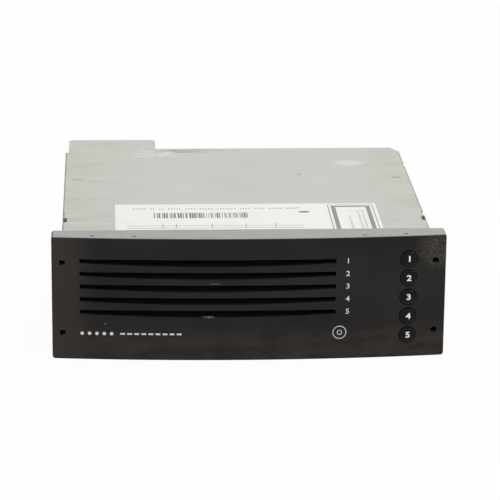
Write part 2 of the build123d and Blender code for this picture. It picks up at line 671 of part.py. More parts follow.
def top_cover():
    """The lid with its side flanges, slits and front pads."""
    cover = Pos(0, 0, LID) * extrude(footprint(), amount=SHEET)
    flange_back = BODY_DEPTH - FLANGE_END
    for side in (-1, 1):
        inner, outer = sorted((side * CHASSIS_X, side * (CHASSIS_X + SHEET)))
        cover += block(inner, outer, FLANGE_FRONT, flange_back, BODY_TOP - FLANGE_DROP, BODY_TOP)
        cover += block(inner, outer, *FRONT_TAB_Y, BODY_TOP - FRONT_TAB_DROP, BODY_TOP)
    folds = [edge for edge in cover.edges() if edge.center().Z > BODY_TOP - 0.01 and edge.center().Y > 1]
    cover = fillet(folds, COVER_FOLD)
    for side in (-1, 1):
        left, right = sorted((side * PAD_X[0], side * PAD_X[1]))
        cover += block(left, right, *PAD_Y, BODY_TOP, BODY_TOP + PAD_RISE)
        slit_x, slit_y = SLIT
        cover -= block(side * SLIT_X - slit_x / 2, side * SLIT_X + slit_x / 2,
                       SLIT_Y - slit_y / 2, SLIT_Y + slit_y / 2, LID - 1, BODY_TOP + 1)
        left, right = sorted((side * (CHASSIS_X - EDGE_NOTCH), side * (CHASSIS_X + EDGE_NOTCH_OUT)))
        cover -= block(left, right, *EDGE_NOTCH_Y, BODY_TOP - EDGE_NOTCH_DROP, BODY_TOP + 1)
    cover -= block(CHASSIS_X, CHASSIS_X + SHEET + 1, *FLANGE_NOTCH, BODY_TOP - FLANGE_DROP - 1, BODY_TOP + 1)
    for screw in cover_screw_solids(COVER_SHANK_R + 0.05, COVER_HEAD_R + 0.05):
        cover -= screw
    return cover


def cover_screw_solids(shank_r, head_r):
    """The four countersunk screws through the side flanges, or their holes."""
    height = BODY_TOP - COVER_SCREW_DROP
    outer = BODY_WIDTH / 2
    screws = []
    for y in COVER_SCREWS_Y:
        head = Pos(outer - SHEET / 2, y, height) * Rot(0, 90, 0) * Cone(shank_r, head_r, SHEET)
        shank = across(y, height, shank_r, outer - COVER_SCREW_LENGTH, outer - SHEET)
        screws += mirrored(head + shank)
    return screws


def cover_screws():
    """Countersunk screws of the cover, with a cross recess."""
    recess_depth = 0.45
    screws = []
    for screw in cover_screw_solids(COVER_SHANK_R, COVER_HEAD_R):
        centre = screw.bounding_box().center()
        face = math.copysign(BODY_WIDTH / 2, centre.X)
        for length_y, length_z in ((2.2, 0.5), (0.5, 2.2)):
            screw -= Pos(face, centre.Y, centre.Z) * Box(2 * recess_depth, length_y, length_z)
        screws.append(screw)
    return screws


def rating_label():
    """The paper label on the lid."""
    width, depth = LABEL
    return block(LABEL_X - width / 2, LABEL_X + width / 2, LABEL_FRONT, LABEL_FRONT + depth,
                 BODY_TOP, BODY_TOP + LABEL_THICKNESS)


def lock_spring():
    """The right-hand lock leaf, which bulges out to hold the unit in its cage."""
    half = LEAF / 2
    line = [(LEAF_X, LEAF_HINGE_Y), (LEAF_X, LEAF_HINGE_Y + 1),
            (LEAF_X + LEAF_BULGE, LEAF_BULGE_Y), (LEAF_X + LEAF_BULGE, LEAF_FLAT_Y),
            (LEAF_X - LEAF_TAIL, LEAF_TAIL_Y)]
    outer = [(x + half, y) for x, y in line]
    inner = [(x - half, y) for x, y in reversed(line)]
    leaf = prism(outer + inner, -LEAF_HALF, LEAF_HALF)
    leaf += upright(LEAF_X, LEAF_HINGE_Y, half, -LEAF_HALF, LEAF_HALF)
    return leaf - block(LEAF_X - 5, LEAF_X + 5, LEAF_BULGE_Y - 4, LEAF_TAIL_Y + 1, -LEAF_NOTCH, LEAF_NOTCH)


def spring_tabs():
    """The riveted front ends of the two lock leaves."""
    half = LEAF / 2
    middle = (TAB_FRONT_Y + LEAF_HINGE_Y) / 2
    back = LEAF_HINGE_Y - half - LEAF_SPLIT
    tab = block(CHASSIS_X, LEAF_X + half, TAB_FRONT_Y, back, -LEAF_HALF, LEAF_HALF)
    for height in (-RELEASE_Z, RELEASE_Z):
        tab -= along(RELEASE_X, height, RELEASE_R + 0.2, 0, LEAF_HINGE_Y)
    for height in (-RIVET_Z, RIVET_Z):
        tab += across(middle, height, RIVET_R, INNER_X, CHASSIS_X + LEAF)
        tab += across(middle, height, 1.6 * RIVET_R, LEAF_X + half, LEAF_X + half + 0.4)
    return mirrored(tab)


def pan_screws():
    """Ten equal pan-head screws: four of the carrier, two of the key board, four of the main board."""
    screws = []
    for x, height in frame_screw_places():
        screws.append(along(x, height, SCREW_R, -FRAME_PLATE, FRAME_SCREW_GRIP)
                      + along(x, height, HEAD_R, -FRAME_PLATE - HEAD, -FRAME_PLATE))
    board_front = -FRAME_PLATE - KEY_BOARD
    for x, height in key_board_screw_places():
        screws.append(along(x, height, SCREW_R, board_front, 0)
                      + along(x, height, HEAD_R, board_front - HEAD, board_front))
    for y, height in board_hole_places():
        screws.append(across(y, height, SCREW_R, BOARD_X, INNER_X)
                      + across(y, height, HEAD_R, BOARD_X - HEAD, BOARD_X))
    return screws


# ---- Electronics ---------------------------------------------------------------------------------------

def board_hole_places():
    """Y and Z of the holes in the main board."""
    return [(y, height) for y in (BOARD_Y[0] + BOARD_HOLE_INSET, BOARD_Y[1] - BOARD_HOLE_INSET)
            for height in (BOARD_Z[0] + BOARD_HOLE_INSET, BOARD_Z[1] - BOARD_HOLE_INSET)]


def main_board():
    """The main printed board, upright along the right wall."""
    board = block(BOARD_X, BOARD_X + BOARD, *BOARD_Y, *BOARD_Z)
    for y, height in board_hole_places():
        board -= across(y, height, SCREW_HOLE_R, BOARD_X - 1, BOARD_X + BOARD + 1)
    return board


def board_standoffs():
    """Tubes between the main board and the chassis wall."""
    return [across(y, height, STANDOFF_R, BOARD_X + BOARD, INNER_X)
            - across(y, height, SCREW_HOLE_R, BOARD_X, INNER_X + 1)
            for y, height in board_hole_places()]


def board_chips():
    """Flat packages on the main board."""
    front, low = BOARD_Y[0], BOARD_Z[0]
    return [block(BOARD_X - thick, BOARD_X, front + back - size / 2, front + back + size / 2,
                  low + up - size / 2, low + up + size / 2)
            for back, up, size, thick in CHIPS]


def board_capacitors():
    """Three can capacitors that stand off the main board."""
    height = BOARD_Z[0] + CAPACITOR_EDGE + CAPACITOR_R
    return [across(BOARD_Y[0] + place * CAPACITOR_PITCH, height, CAPACITOR_R, BOARD_X - CAPACITOR, BOARD_X)
            for place in range(1, CAPACITOR_COUNT + 1)]


def rear_connector():
    """The multi-way socket in the back of the extension."""
    width, height, depth = CONNECTOR
    left, right = CONNECTOR_X - width / 2, CONNECTOR_X + width / 2
    low, high = CONNECTOR_Z - height / 2, CONNECTOR_Z + height / 2
    overlap, thickness = CONNECTOR_FLANGE
    flange_back = EXTENSION_BACK - SHEET
    body = block(left, right, EXTENSION_BACK - depth, EXTENSION_BACK, low, high)
    body += block(left - overlap, right + overlap, flange_back - thickness, flange_back,
                  low - overlap, high + overlap)
    body -= block(left + CONNECTOR_WALL, right - CONNECTOR_WALL, EXTENSION_BACK - SOCKET_DEPTH,
                  EXTENSION_BACK + 1, low + CONNECTOR_WALL, high - CONNECTOR_WALL)
    return body


def connector_pins():
    """Two rows of contacts that stand in the socket."""
    floor = EXTENSION_BACK - SOCKET_DEPTH
    pins = []
    for column in range(PIN_COLUMNS):
        x = CONNECTOR_X + (column - (PIN_COLUMNS - 1) / 2) * PIN_PITCH
        for sense in (-1, 1):
            z = CONNECTOR_Z + sense * PIN_ROW / 2
            pins.append(block(x - PIN / 2, x + PIN / 2, floor, floor + PIN_LENGTH, z - PIN / 2, z + PIN / 2))
    return pins


def ribbon_cable():
    """The flat cable from the main board round the back to the connector."""
    low, high = RIBBON_Z
    side_x = BOARD_X - RIBBON / 2
    back_y = INNER_BACK - RIBBON_BACK
    corner = (INNER_X - side_x) + 6.0
    end_y = EXTENSION_BACK - CONNECTOR[2]
    path = FilletPolyline((side_x, BOARD_Y[1] - 10), (side_x, back_y - corner),
                          (side_x - corner, back_y), (CONNECTOR_X, back_y), (CONNECTOR_X, end_y),
                          radius=RIBBON_BEND)
    strip = trace(path, line_width=RIBBON)
    return Pos(0, 0, low) * extrude(strip, amount=high - low)


# ---- Racks and trays --------------------------------------------------------------------------------------

def tray_z(number):
    """Underside of a tray."""
    return slot_z(number) - TRAY_DROP - TRAY_THICKNESS


def grooves(x0, x1):
    """The space of all tray grooves between two X."""
    return [block(x0, x1, TRAY_FRONT - 1, TRAY_BACK + RACK_END + 1, tray_z(number) - TRAY_RUN,
                  tray_z(number) + TRAY_THICKNESS + TRAY_RUN)
            for number in range(1, TRAY_COUNT + 1)]


def rack_left():
    """The comb that carries the left edges of the trays, standing on the floor."""
    rack = block(LEFT_RACK_X - RACK, LEFT_RACK_X, TRAY_FRONT, TRAY_BACK + RACK_END, FLOOR, LID - RACK_TOP)
    for groove in grooves(LEFT_RACK_X - RACK_GROOVE, LEFT_RACK_X + 1):
        rack -= groove
    return rack


def rack_right():
    """The comb on the right, bridging the swing arm from a front foot to the rear wall."""
    outer = RIGHT_RACK_X + RACK
    low = CLAMP_TOP + RACK_LIFT
    rack = block(RIGHT_RACK_X, outer, TRAY_FRONT, TRAY_BACK + RACK_END, low, LID - RACK_TOP)
    rack += block(RIGHT_RACK_X, outer, TRAY_FRONT, TRAY_FRONT + RACK_FOOT, FLOOR, low)
    rack += block(RIGHT_RACK_X, outer, TRAY_BACK, INNER_BACK, low + 1, RACK_ARM_TOP)
    for groove in grooves(RIGHT_RACK_X - 1, RIGHT_RACK_X + RACK_GROOVE):
        rack -= groove
    return rack


def disc_tray(number):
    """A tray with its disc pocket and the cut for the turntable and the pickup."""
    low = tray_z(number)
    top = low + TRAY_THICKNESS
    tray = block(TRAY_LEFT, TRAY_RIGHT, TRAY_FRONT, TRAY_BACK, low, top)
    tray -= upright(DISC_X, DISC_Y, DISC_DIAMETER / 2 + POCKET_MARGIN, top - POCKET_DEPTH, top + 1)
    half = TURNTABLE_R + TRAY_CUT_MARGIN
    opening = upright(DISC_X, DISC_Y, half, low - 1, top + 1)
    slot = block(0, DISC_DIAMETER / 2, -half, half, low - 1, top + 1)
    opening += Pos(DISC_X, DISC_Y, 0) * Rot(0, 0, 90 - ARM_SWING) * slot
    inside = block(TRAY_LEFT + TRAY_RIM, TRAY_RIGHT - TRAY_RIM, TRAY_FRONT + TRAY_RIM, TRAY_BACK - TRAY_RIM,
                   low - 2, top + 2)
    return tray - (opening & inside)


# ---- Carriage with the loading roller ------------------------------------------------------------------------

CARRIAGE_Z = slot_z((TRAY_COUNT + 1) / 2)
ROLLER_Z = CARRIAGE_Z - DISC_THICKNESS / 2 - ROLLER_R
SHELF_Z = CARRIAGE_Z - SHELF_DROP
BAR_Z = CARRIAGE_Z + BAR_LIFT


def guide_posts():
    """The two upright posts that the carriage slides on."""
    return [upright(x, y, POST_R, FLOOR, LID) for x, y in (LEFT_POST, RIGHT_POST)]


def carriage():
    """The moulding that carries the loading roller from slot to slot."""
    block_width, block_depth = BLOCK
    left = -INNER_X + CARRIAGE_GAP
    bar_depth, bar_height = BAR
    top = BAR_Z + bar_height
    front = ROLLER_Y - bar_depth / 2
    body = block(left, left + block_width, CARRIAGE_FRONT + 0.5, CARRIAGE_FRONT + 0.5 + block_depth, SHELF_Z, top)
    body += block(left, LOADING_MOTOR_X, CARRIAGE_FRONT + 0.5, SHELF_BACK, SHELF_Z, SHELF_Z + SHELF)
    body += block(LOADING_MOTOR_X, LIFT_X, CARRIAGE_FRONT + 0.5, MOTOR_SHELF_BACK, SHELF_Z, SHELF_Z + SHELF)
    body += block(left, CHEEK_X + CHEEK, front, front + bar_depth, BAR_Z, top)
    body += block(CHEEK_X, CHEEK_X + CHEEK, CARRIAGE_FRONT + 0.5, CHEEK_BACK, SHELF_Z, top)
    body += block(GEARBOX_X, LOADING_MOTOR_X, CARRIAGE_FRONT + 0.5, GEARBOX_BACK, SHELF_Z, top)
    body += upright(LIFT_X, LIFT_Y, NUT_R, SHELF_Z, SHELF_Z + NUT_HEIGHT)
    body += upright(*RIGHT_POST, POST_BOSS_R, SHELF_Z, SHELF_Z + NUT_HEIGHT)
    body += across(IDLER_Y, ROLLER_Z, ROLLER_SHAFT_R - SHAFT_RUN, CHEEK_X, GEARBOX_X + GEARBOX)
    body -= upright(LIFT_X, LIFT_Y, LIFT_R + LIFT_RUN, SHELF_Z - 1, top + 1)
    for x, y in (LEFT_POST, RIGHT_POST):
        body -= upright(x, y, POST_R + POST_RUN, SHELF_Z - 1, top + 1)
    body -= across(ROLLER_Y, ROLLER_Z, ROLLER_SHAFT_R + SHAFT_RUN, left + 2, GEARBOX_X + GEARBOX)
    return body - across(PINION_Y, ROLLER_Z, MOTOR_SHAFT_R + SHAFT_RUN, GEARBOX_X - 1, LOADING_MOTOR_X + 1)


def on_roller_side(shape, y):
    """A piece made about Z from 0 up, laid along X at the gears of the carriage."""
    return Pos(GEAR_X, y, ROLLER_Z) * Rot(0, 90, 0) * shape


def roller_shaft():
    """The steel shaft of the loading roller."""
    return across(ROLLER_Y, ROLLER_Z, ROLLER_SHAFT_R, -INNER_X + CARRIAGE_GAP + 2.2, GEARBOX_X + GEARBOX / 2)


def roller_sleeves():
    """The two rubber sleeves, with a gap in the middle of the disc."""
    left = -INNER_X + CARRIAGE_GAP + BLOCK[0] + 2.6
    spans = ((left, DISC_X - 6.2), (DISC_X + 5.8, CHEEK_X - 4.5))
    return [across(ROLLER_Y, ROLLER_Z, ROLLER_R, x0, x1) - across(ROLLER_Y, ROLLER_Z, ROLLER_SHAFT_R, x0 - 1, x1 + 1)
            for x0, x1 in spans]


def roller_gear():
    """The gear on the end of the roller shaft."""
    return on_roller_side(spur(ROLLER_TEETH, ROLLER_MODULE, GEAR_WIDTH, ROLLER_SHAFT_R, 90), ROLLER_Y)


def idler_gear():
    """The gear between the roller and the motor."""
    phase = 270 + 180 / IDLER_TEETH
    return on_roller_side(spur(IDLER_TEETH, ROLLER_MODULE, GEAR_WIDTH, ROLLER_SHAFT_R, phase), IDLER_Y)


def loading_pinion():
    """The motor's pinion with its shaft."""
    pinion = spur(PINION_TEETH, ROLLER_MODULE, GEAR_WIDTH, 0, 270)
    length = LOADING_MOTOR_X - GEAR_X + MOTOR_BORE
    return on_roller_side(pinion + upright(0, 0, MOTOR_SHAFT_R, 0, length), PINION_Y)


def small_motor(length):
    """A can motor about Z, its mounting face at 0, with the bore of its shaft."""
    can = upright(0, 0, MOTOR_R, 0, length)
    can = chamfer(can.edges().filter_by(GeomType.CIRCLE).sort_by(Axis.Z)[-1], 0.8)
    can += upright(0, 0, MOTOR_R / 3, length, length + 1)
    for sense in (-1, 1):
        can += Pos(0, sense * MOTOR_R * 0.6, length + 0.8) * Box(0.5, 1.8, 1.6)
    return can - upright(0, 0, MOTOR_SHAFT_R + SHAFT_RUN, -1, MOTOR_BORE + 0.5)


def loading_motor():
    """The motor that turns the roller."""
    return Pos(LOADING_MOTOR_X, PINION_Y, ROLLER_Z) * Rot(0, 90, 0) * small_motor(LOADING_MOTOR - 2)


# ---- Lift ------------------------------------------------------------------------------------------------------

def lift_screw():
    """The lead screw that raises the carriage."""
    return upright(LIFT_X, LIFT_Y, LIFT_R, FLOOR + LIFT_END, LID - LIFT_END)


def pulley(x, y, bore_r):
    """A grooved pulley for the lift belt."""
    wheel = upright(x, y, PULLEY_R, PULLEY_Z, PULLEY_Z + PULLEY)
    groove_low, groove_high = PULLEY_Z + PULLEY_FLANGE, PULLEY_Z + PULLEY - PULLEY_FLANGE
    wheel -= upright(x, y, PULLEY_R + 1, groove_low, groove_high)
    wheel += upright(x, y, PULLEY_GROOVE_R, groove_low, groove_high)
    if bore_r:
        wheel -= upright(x, y, bore_r, PULLEY_Z - 1, PULLEY_Z + PULLEY + 1)
    return wheel


def screw_pulley():
    """The pulley on the foot of the lift screw."""
    return pulley(LIFT_X, LIFT_Y, LIFT_R)


def motor_pulley():
    """The pulley under the lift motor, with the motor's shaft."""
    shaft = upright(LIFT_X, LIFT_MOTOR_Y, MOTOR_SHAFT_R, PULLEY_Z + PULLEY, LIFT_MOTOR_Z + MOTOR_BORE)
    return pulley(LIFT_X, LIFT_MOTOR_Y, 0) + shaft


def lift_belt():
    """The belt round the two pulleys."""
    inner_r = PULLEY_GROOVE_R + BELT_RUN
    low = PULLEY_Z + PULLEY_FLANGE + BELT_SIDE
    high = PULLEY_Z + PULLEY - PULLEY_FLANGE - BELT_SIDE
    middle = (LIFT_Y + LIFT_MOTOR_Y) / 2

    def loop(radius):
        """A slot-shaped block round both axes."""
        outline = Rot(0, 0, 90) * SlotCenterToCenter(PULLEY_CENTRES, 2 * radius)
        return Pos(LIFT_X, middle, low) * extrude(outline, amount=high - low)

    return loop(inner_r + BELT) - loop(inner_r)


def lift_bracket():
    """The folded bracket that holds the lift motor over the belt."""
    reach = PULLEY_R + 1.0
    left = LIFT_X - MOTOR_R - 2.8
    back = LIFT_MOTOR_Y + MOTOR_R + 1
    top = LIFT_BRACKET_Z + BRACKET
    plate = block(left, LIFT_X + reach, LIFT_Y - MOTOR_R, back, LIFT_BRACKET_Z, top)
    leg = block(left, left + BRACKET, MOTOR_SHELF_BACK, back, FLOOR, LIFT_BRACKET_Z)
    foot = block(left - BRACKET_FOOT, left + BRACKET, MOTOR_SHELF_BACK, back, FLOOR, FLOOR + BRACKET)
    bracket = plate + leg + foot
    bracket -= upright(LIFT_X, LIFT_Y, LIFT_R + LIFT_RUN, LIFT_BRACKET_Z - 1, top + 1)
    return bracket - upright(LIFT_X, LIFT_MOTOR_Y, MOTOR_SHAFT_R + SHAFT_RUN, LIFT_BRACKET_Z - 1, top + 1)


def lift_motor():
    """The motor that turns the lift screw."""
    return Pos(LIFT_X, LIFT_MOTOR_Y, LIFT_MOTOR_Z) * small_motor(LIFT_MOTOR)


# ---- Swing arm ---------------------------------------------------------------------------------------------------
# The arm is parked along the right bay: u runs across it from its middle, v back from the spindle.

def on_arm(u0, u1, v0, v1, z0, z1):
    """A block in the arm's own u and v."""
    return block(PIVOT_X + u0, PIVOT_X + u1, TIP_Y + v0, TIP_Y + v1, z0, z1)


def swing_arm():
    """The play arm: plate, gear, rod blocks and the ears of the clamp hinge."""
    rib, rib_height = ARM_RIB
    wide_end = BLOCK_BACK + BLOCK_WIDTH + SLED_MOTOR[1]
    arm = upright(PIVOT_X, TIP_Y, ARM_TIP_R, ARM_Z, DECK)
    arm += on_arm(-ARM_TIP_R, ARM_TIP_R, 0, BLOCK_FRONT, ARM_Z, DECK)
    arm += on_arm(-ARM_HALF, ARM_HALF, BLOCK_FRONT, wide_end, ARM_Z, DECK)
    arm += on_arm(-ARM_END_R, ARM_END_R, wide_end, ARM_LENGTH, ARM_Z, DECK)
    arm += upright(PIVOT_X, PIVOT_Y, ARM_END_R, ARM_Z, DECK)
    for side in (-1, 1):
        low, high = sorted((side * ARM_HALF, side * (ARM_HALF - rib)))
        arm += on_arm(low, high, BLOCK_FRONT, BLOCK_BACK, DECK, DECK + rib_height)
    for v in (BLOCK_FRONT, BLOCK_BACK):
        arm += on_arm(-ROD_U - 3, ARM_HALF, v, v + BLOCK_WIDTH, DECK, DECK + BLOCK_TOP)
    inner, outer = CLAMP_HALF + EAR_GAP, CLAMP_HALF + EAR_GAP + EAR
    for side in (-1, 1):
        low, high = sorted((side * inner, side * outer))
        arm += on_arm(low, high, HINGE_V - EAR_LENGTH / 2, HINGE_V + EAR_LENGTH / 2, DECK, CLAMP_TOP - 0.05)
    arm += across(TIP_Y + HINGE_V, HINGE_Z, HINGE_PIN_R, PIVOT_X - inner, PIVOT_X + inner)
    gear = spur(ARM_TEETH, ARM_MODULE, ARM_GEAR, 0, 0)
    arm += Pos(PIVOT_X, PIVOT_Y, DECK) * gear
    arm -= upright(PIVOT_X, PIVOT_Y, PIVOT_R + PIVOT_RUN, ARM_Z - 1, DECK + ARM_GEAR + 1)
    for side in (-1, 1):
        arm -= along(PIVOT_X + side * ROD_U, DECK + ROD_LIFT, ROD_R, TIP_Y + BLOCK_FRONT - 1,
                     TIP_Y + BLOCK_BACK + BLOCK_WIDTH + 1)
    return arm - along(PIVOT_X + SLED_U, DECK + SLED_LIFT, SLED_R + SLIDE_RUN, TIP_Y + BLOCK_FRONT + 0.8,
                       TIP_Y + BLOCK_BACK + BLOCK_WIDTH + 1)


def pivot_post():
    """The post that the arm turns on, with its foot and retaining clip."""
    flange_r, flange = PIVOT_FLANGE
    clip_r, clip = CLIP
    clip_z = DECK + ARM_GEAR + 0.1
    post = upright(PIVOT_X, PIVOT_Y, flange_r, FLOOR, FLOOR + flange)
    post += upright(PIVOT_X, PIVOT_Y, PIVOT_R, FLOOR, clip_z + clip + 0.6)
    return post + upright(PIVOT_X, PIVOT_Y, clip_r, clip_z, clip_z + clip)


def arm_pinion():
    """The pinion that swings the arm, with the motor's shaft."""
    low = DECK + ARM_PINION_GAP
    height = ARM_GEAR - ARM_PINION_GAP - 0.2
    pinion = Pos(0, 0, low) * spur(ARM_PINION_TEETH, ARM_MODULE, height, 0, 180 + 180 / ARM_PINION_TEETH)
    pinion += upright(0, 0, MOTOR_SHAFT_R, low, ARM_BRACKET_Z + BRACKET + MOTOR_BORE)
    return Pos(ARM_PINION_X, PIVOT_Y, 0) * pinion


def arm_bracket():
    """The folded bracket that hangs the arm motor from the rear wall."""
    left, right = ARM_PINION_X - ARM_BRACKET_HALF, ARM_PINION_X + ARM_BRACKET_HALF
    top = ARM_BRACKET_Z + BRACKET
    bracket = block(left, right, PIVOT_Y - ARM_BRACKET_FRONT, INNER_BACK, ARM_BRACKET_Z, top)
    bracket += block(left, right, INNER_BACK - BRACKET, INNER_BACK, ARM_BRACKET_Z, top + ARM_BRACKET_RISE)
    return bracket - upright(ARM_PINION_X, PIVOT_Y, MOTOR_SHAFT_R + SHAFT_RUN, ARM_BRACKET_Z - 1, top + 1)


def arm_motor():
    """The motor that swings the arm."""
    return Pos(ARM_PINION_X, PIVOT_Y, ARM_BRACKET_Z + BRACKET) * small_motor(ARM_MOTOR)


def spindle_motor():
    """The flat motor under the turntable."""
    motor = upright(PIVOT_X, TIP_Y, SPINDLE_R, DECK, DECK + SPINDLE_HEIGHT)
    return motor - upright(PIVOT_X, TIP_Y, SPINDLE_SHAFT_R + SHAFT_RUN, DECK + 1, DECK + SPINDLE_HEIGHT + 1)


def turntable():
    """The table that carries a disc, with its centring cone and shaft."""
    table = upright(PIVOT_X, TIP_Y, TURNTABLE_R, TURNTABLE_Z, DISC_SEAT)
    table += Pos(PIVOT_X, TIP_Y, DISC_SEAT + CONE / 2) * Cone(CONE_R, CONE_TIP_R, CONE)
    return table + upright(PIVOT_X, TIP_Y, SPINDLE_SHAFT_R, DECK + 1.3, TURNTABLE_Z)


def pickup():
    """The optical pickup on its two rods, with lens ring and half nut."""
    width, length = PICKUP
    low, high = DECK + PICKUP_LIFT, DECK + PICKUP_LIFT + PICKUP_HEIGHT
    sled = on_arm(-width / 2, width / 2, PICKUP_FRONT, PICKUP_FRONT + length, low, high)
    sled -= on_arm(-width / 2 - 1, -ROD_U + 3, PICKUP_FRONT - 1, PICKUP_FRONT + 7, low - 1, high + 1)
    sled += on_arm(width / 2 - 1, SLED_U, *NUT_TONGUE, low, low + BLOCK_TOP - PICKUP_LIFT)
    sled += upright(PIVOT_X, TIP_Y + LENS_V, LENS_R, high, high + LENS)
    sled -= upright(PIVOT_X, TIP_Y + LENS_V, LENS_R - 1.2, high - 0.6, high + LENS + 1)
    for side in (-1, 1):
        sled -= along(PIVOT_X + side * ROD_U, DECK + ROD_LIFT, ROD_R + SLIDE_RUN, TIP_Y, PIVOT_Y)
    return sled - along(PIVOT_X + SLED_U, DECK + SLED_LIFT, SLED_R + SLIDE_RUN, TIP_Y, PIVOT_Y)


def sled_rods():
    """The two polished rods of the pickup."""
    return [along(PIVOT_X + side * ROD_U, DECK + ROD_LIFT, ROD_R, TIP_Y + BLOCK_FRONT,
                  TIP_Y + BLOCK_BACK + BLOCK_WIDTH) for side in (-1, 1)]


def sled_screw():
    """The screw that drives the pickup."""
    return along(PIVOT_X + SLED_U, DECK + SLED_LIFT, SLED_R, TIP_Y + BLOCK_FRONT + 0.9,
                 TIP_Y + BLOCK_BACK + BLOCK_WIDTH - 0.05)


def sled_motor():
    """The small motor at the end of the sled screw."""
    radius, length = SLED_MOTOR
    start = TIP_Y + BLOCK_BACK + BLOCK_WIDTH
    return along(PIVOT_X + SLED_U, DECK + SLED_LIFT, radius, start, start + length)


def clamp_arm():
    """The lever that lowers the clamp disc onto a disc."""
    arm = on_arm(-CLAMP_HALF, CLAMP_HALF, 0, HINGE_V, CLAMP_ARM_Z, CLAMP_TOP)
    arm += upright(PIVOT_X, TIP_Y, CLAMP_HALF + 2, CLAMP_ARM_Z, CLAMP_TOP)
    arm += across(TIP_Y + HINGE_V, HINGE_Z, HINGE_BARREL_R, PIVOT_X - CLAMP_HALF, PIVOT_X + CLAMP_HALF)
    arm -= across(TIP_Y + HINGE_V, HINGE_Z, HINGE_PIN_R + 0.07, PIVOT_X - CLAMP_HALF - 1, PIVOT_X + CLAMP_HALF + 1)
    arm -= upright(PIVOT_X, TIP_Y, CLAMP_STUD_R + 0.1, CLAMP_ARM_Z - 1, CLAMP_TOP + 1)
    return arm - upright(PIVOT_X, TIP_Y, CLAMP_STUD_HEAD_R + 0.2, CLAMP_TOP - CLAMP_PLATE / 2, CLAMP_TOP + 1)


def clamp_disc():
    """The loose disc that presses a disc onto the turntable."""
    recess_r, recess = CLAMP_RECESS
    disc = upright(PIVOT_X, TIP_Y, CLAMP_R, CLAMP_Z, CLAMP_ARM_Z - 0.1)
    disc -= upright(PIVOT_X, TIP_Y, recess_r, CLAMP_Z - 1, CLAMP_Z + recess)
    disc += upright(PIVOT_X, TIP_Y, CLAMP_STUD_R, CLAMP_ARM_Z - 0.1, CLAMP_TOP - 0.1)
    return disc + upright(PIVOT_X, TIP_Y, CLAMP_STUD_HEAD_R, CLAMP_TOP - CLAMP_PLATE / 2 + 0.1, CLAMP_TOP - 0.1)


# ---- All pieces, by name -------------------------------------------------------------------------------------------

right_spring = lock_spring()
PIECES = {
    "front_panel": front_panel(),
    "front_frame": front_frame(),
    "dust_lips": dust_lips(),
    "key_board": key_board(),
    "key_switches": key_switches(),
    "board_leds": board_leds(),
    "pan_screws": pan_screws(),
    "chassis": chassis(),
    "top_cover": top_cover(),
    "cover_screws": cover_screws(),
    "rating_label": rating_label(),
    "lock_spring_right": right_spring,
    "lock_spring_left": mirror(right_spring, Plane.YZ),
    "spring_tabs": spring_tabs(),
    "main_board": main_board(),
    "board_standoffs": board_standoffs(),
    "board_chips": board_chips(),
    "board_capacitors": board_capacitors(),
    "rear_connector": rear_connector(),
    "connector_pins": connector_pins(),
    "ribbon_cable": ribbon_cable(),
    "rack_left": rack_left(),
    "rack_right": rack_right(),
    "guide_posts": guide_posts(),
    "carriage": carriage(),
    "roller_shaft": roller_shaft(),
    "roller_sleeves": roller_sleeves(),
    "roller_gear": roller_gear(),
    "idler_gear": idler_gear(),
    "loading_pinion": loading_pinion(),
    "loading_motor": loading_motor(),
    "lift_screw": lift_screw(),
    "screw_pulley": screw_pulley(),
    "motor_pulley": motor_pulley(),
    "lift_belt": lift_belt(),
    "lift_bracket": lift_bracket(),
    "lift_motor": lift_motor(),
    "swing_arm": swing_arm(),
    "pivot_post": pivot_post(),
    "arm_pinion": arm_pinion(),
    "arm_bracket": arm_bracket(),
    "arm_motor": arm_motor(),
    "spindle_motor": spindle_motor(),
    "turntable": turntable(),
    "pickup": pickup(),
    "sled_rods": sled_rods(),
    "sled_screw": sled_screw(),
    "sled_motor": sled_motor(),
    "clamp_arm": clamp_arm(),
    "clamp_disc": clamp_disc(),
}
for number in range(1, TRAY_COUNT + 1):
    PIECES[f"button_{number}"] = button(number)
    PIECES[f"disc_tray_{number}"] = disc_tray(number)

# The origin of the finished part is under the middle of the whole, on the face's lowest level.
FRONT = bow_y(0)
SHIFT = Pos(0, -(FRONT + EXTENSION_BACK) / 2, -FACE_BOTTOM)

os.makedirs("parts", exist_ok=True)
for name, piece in PIECES.items():
    solids = piece if isinstance(piece, list) else [piece]
    shape = Compound(children=[SHIFT * solid for solid in solids]) if len(solids) > 1 else SHIFT * solids[0]
    export_step(shape, f"parts/{name}.step")

print(f"{len(PIECES)} pieces; body {BODY_WIDTH:.1f} x {BODY_HEIGHT:.1f} x {BODY_DEPTH:.1f}, "
      f"face {FACE_WIDTH:.1f} x {FACE_HEIGHT / 2 - FACE_BOTTOM:.2f}, "
      f"arm {ARM_LENGTH:.2f} long swings {ARM_SWING:.2f} degrees")
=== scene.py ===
"""Looks of an in-dash changer for five discs, dressed round its packed construction.

The frame holds every piece at its real size and place, in metres, with +X to the right, +Y back
and +Z up. Sizes here are in millimetres, from the datum that the construction uses too: the
middle of the fascia, on the plane where the fascia is seated.
"""

from __future__ import annotations

import json
import logging
import math
import random
from abc import ABC, abstractmethod
from dataclasses import dataclass
from enum import Enum
from functools import reduce
from operator import or_
from typing import Any, ClassVar, Mapping, Optional, Sequence, Union

import bmesh
import bpy
from mathutils import Matrix, Vector
from mathutils.bvhtree import BVHTree

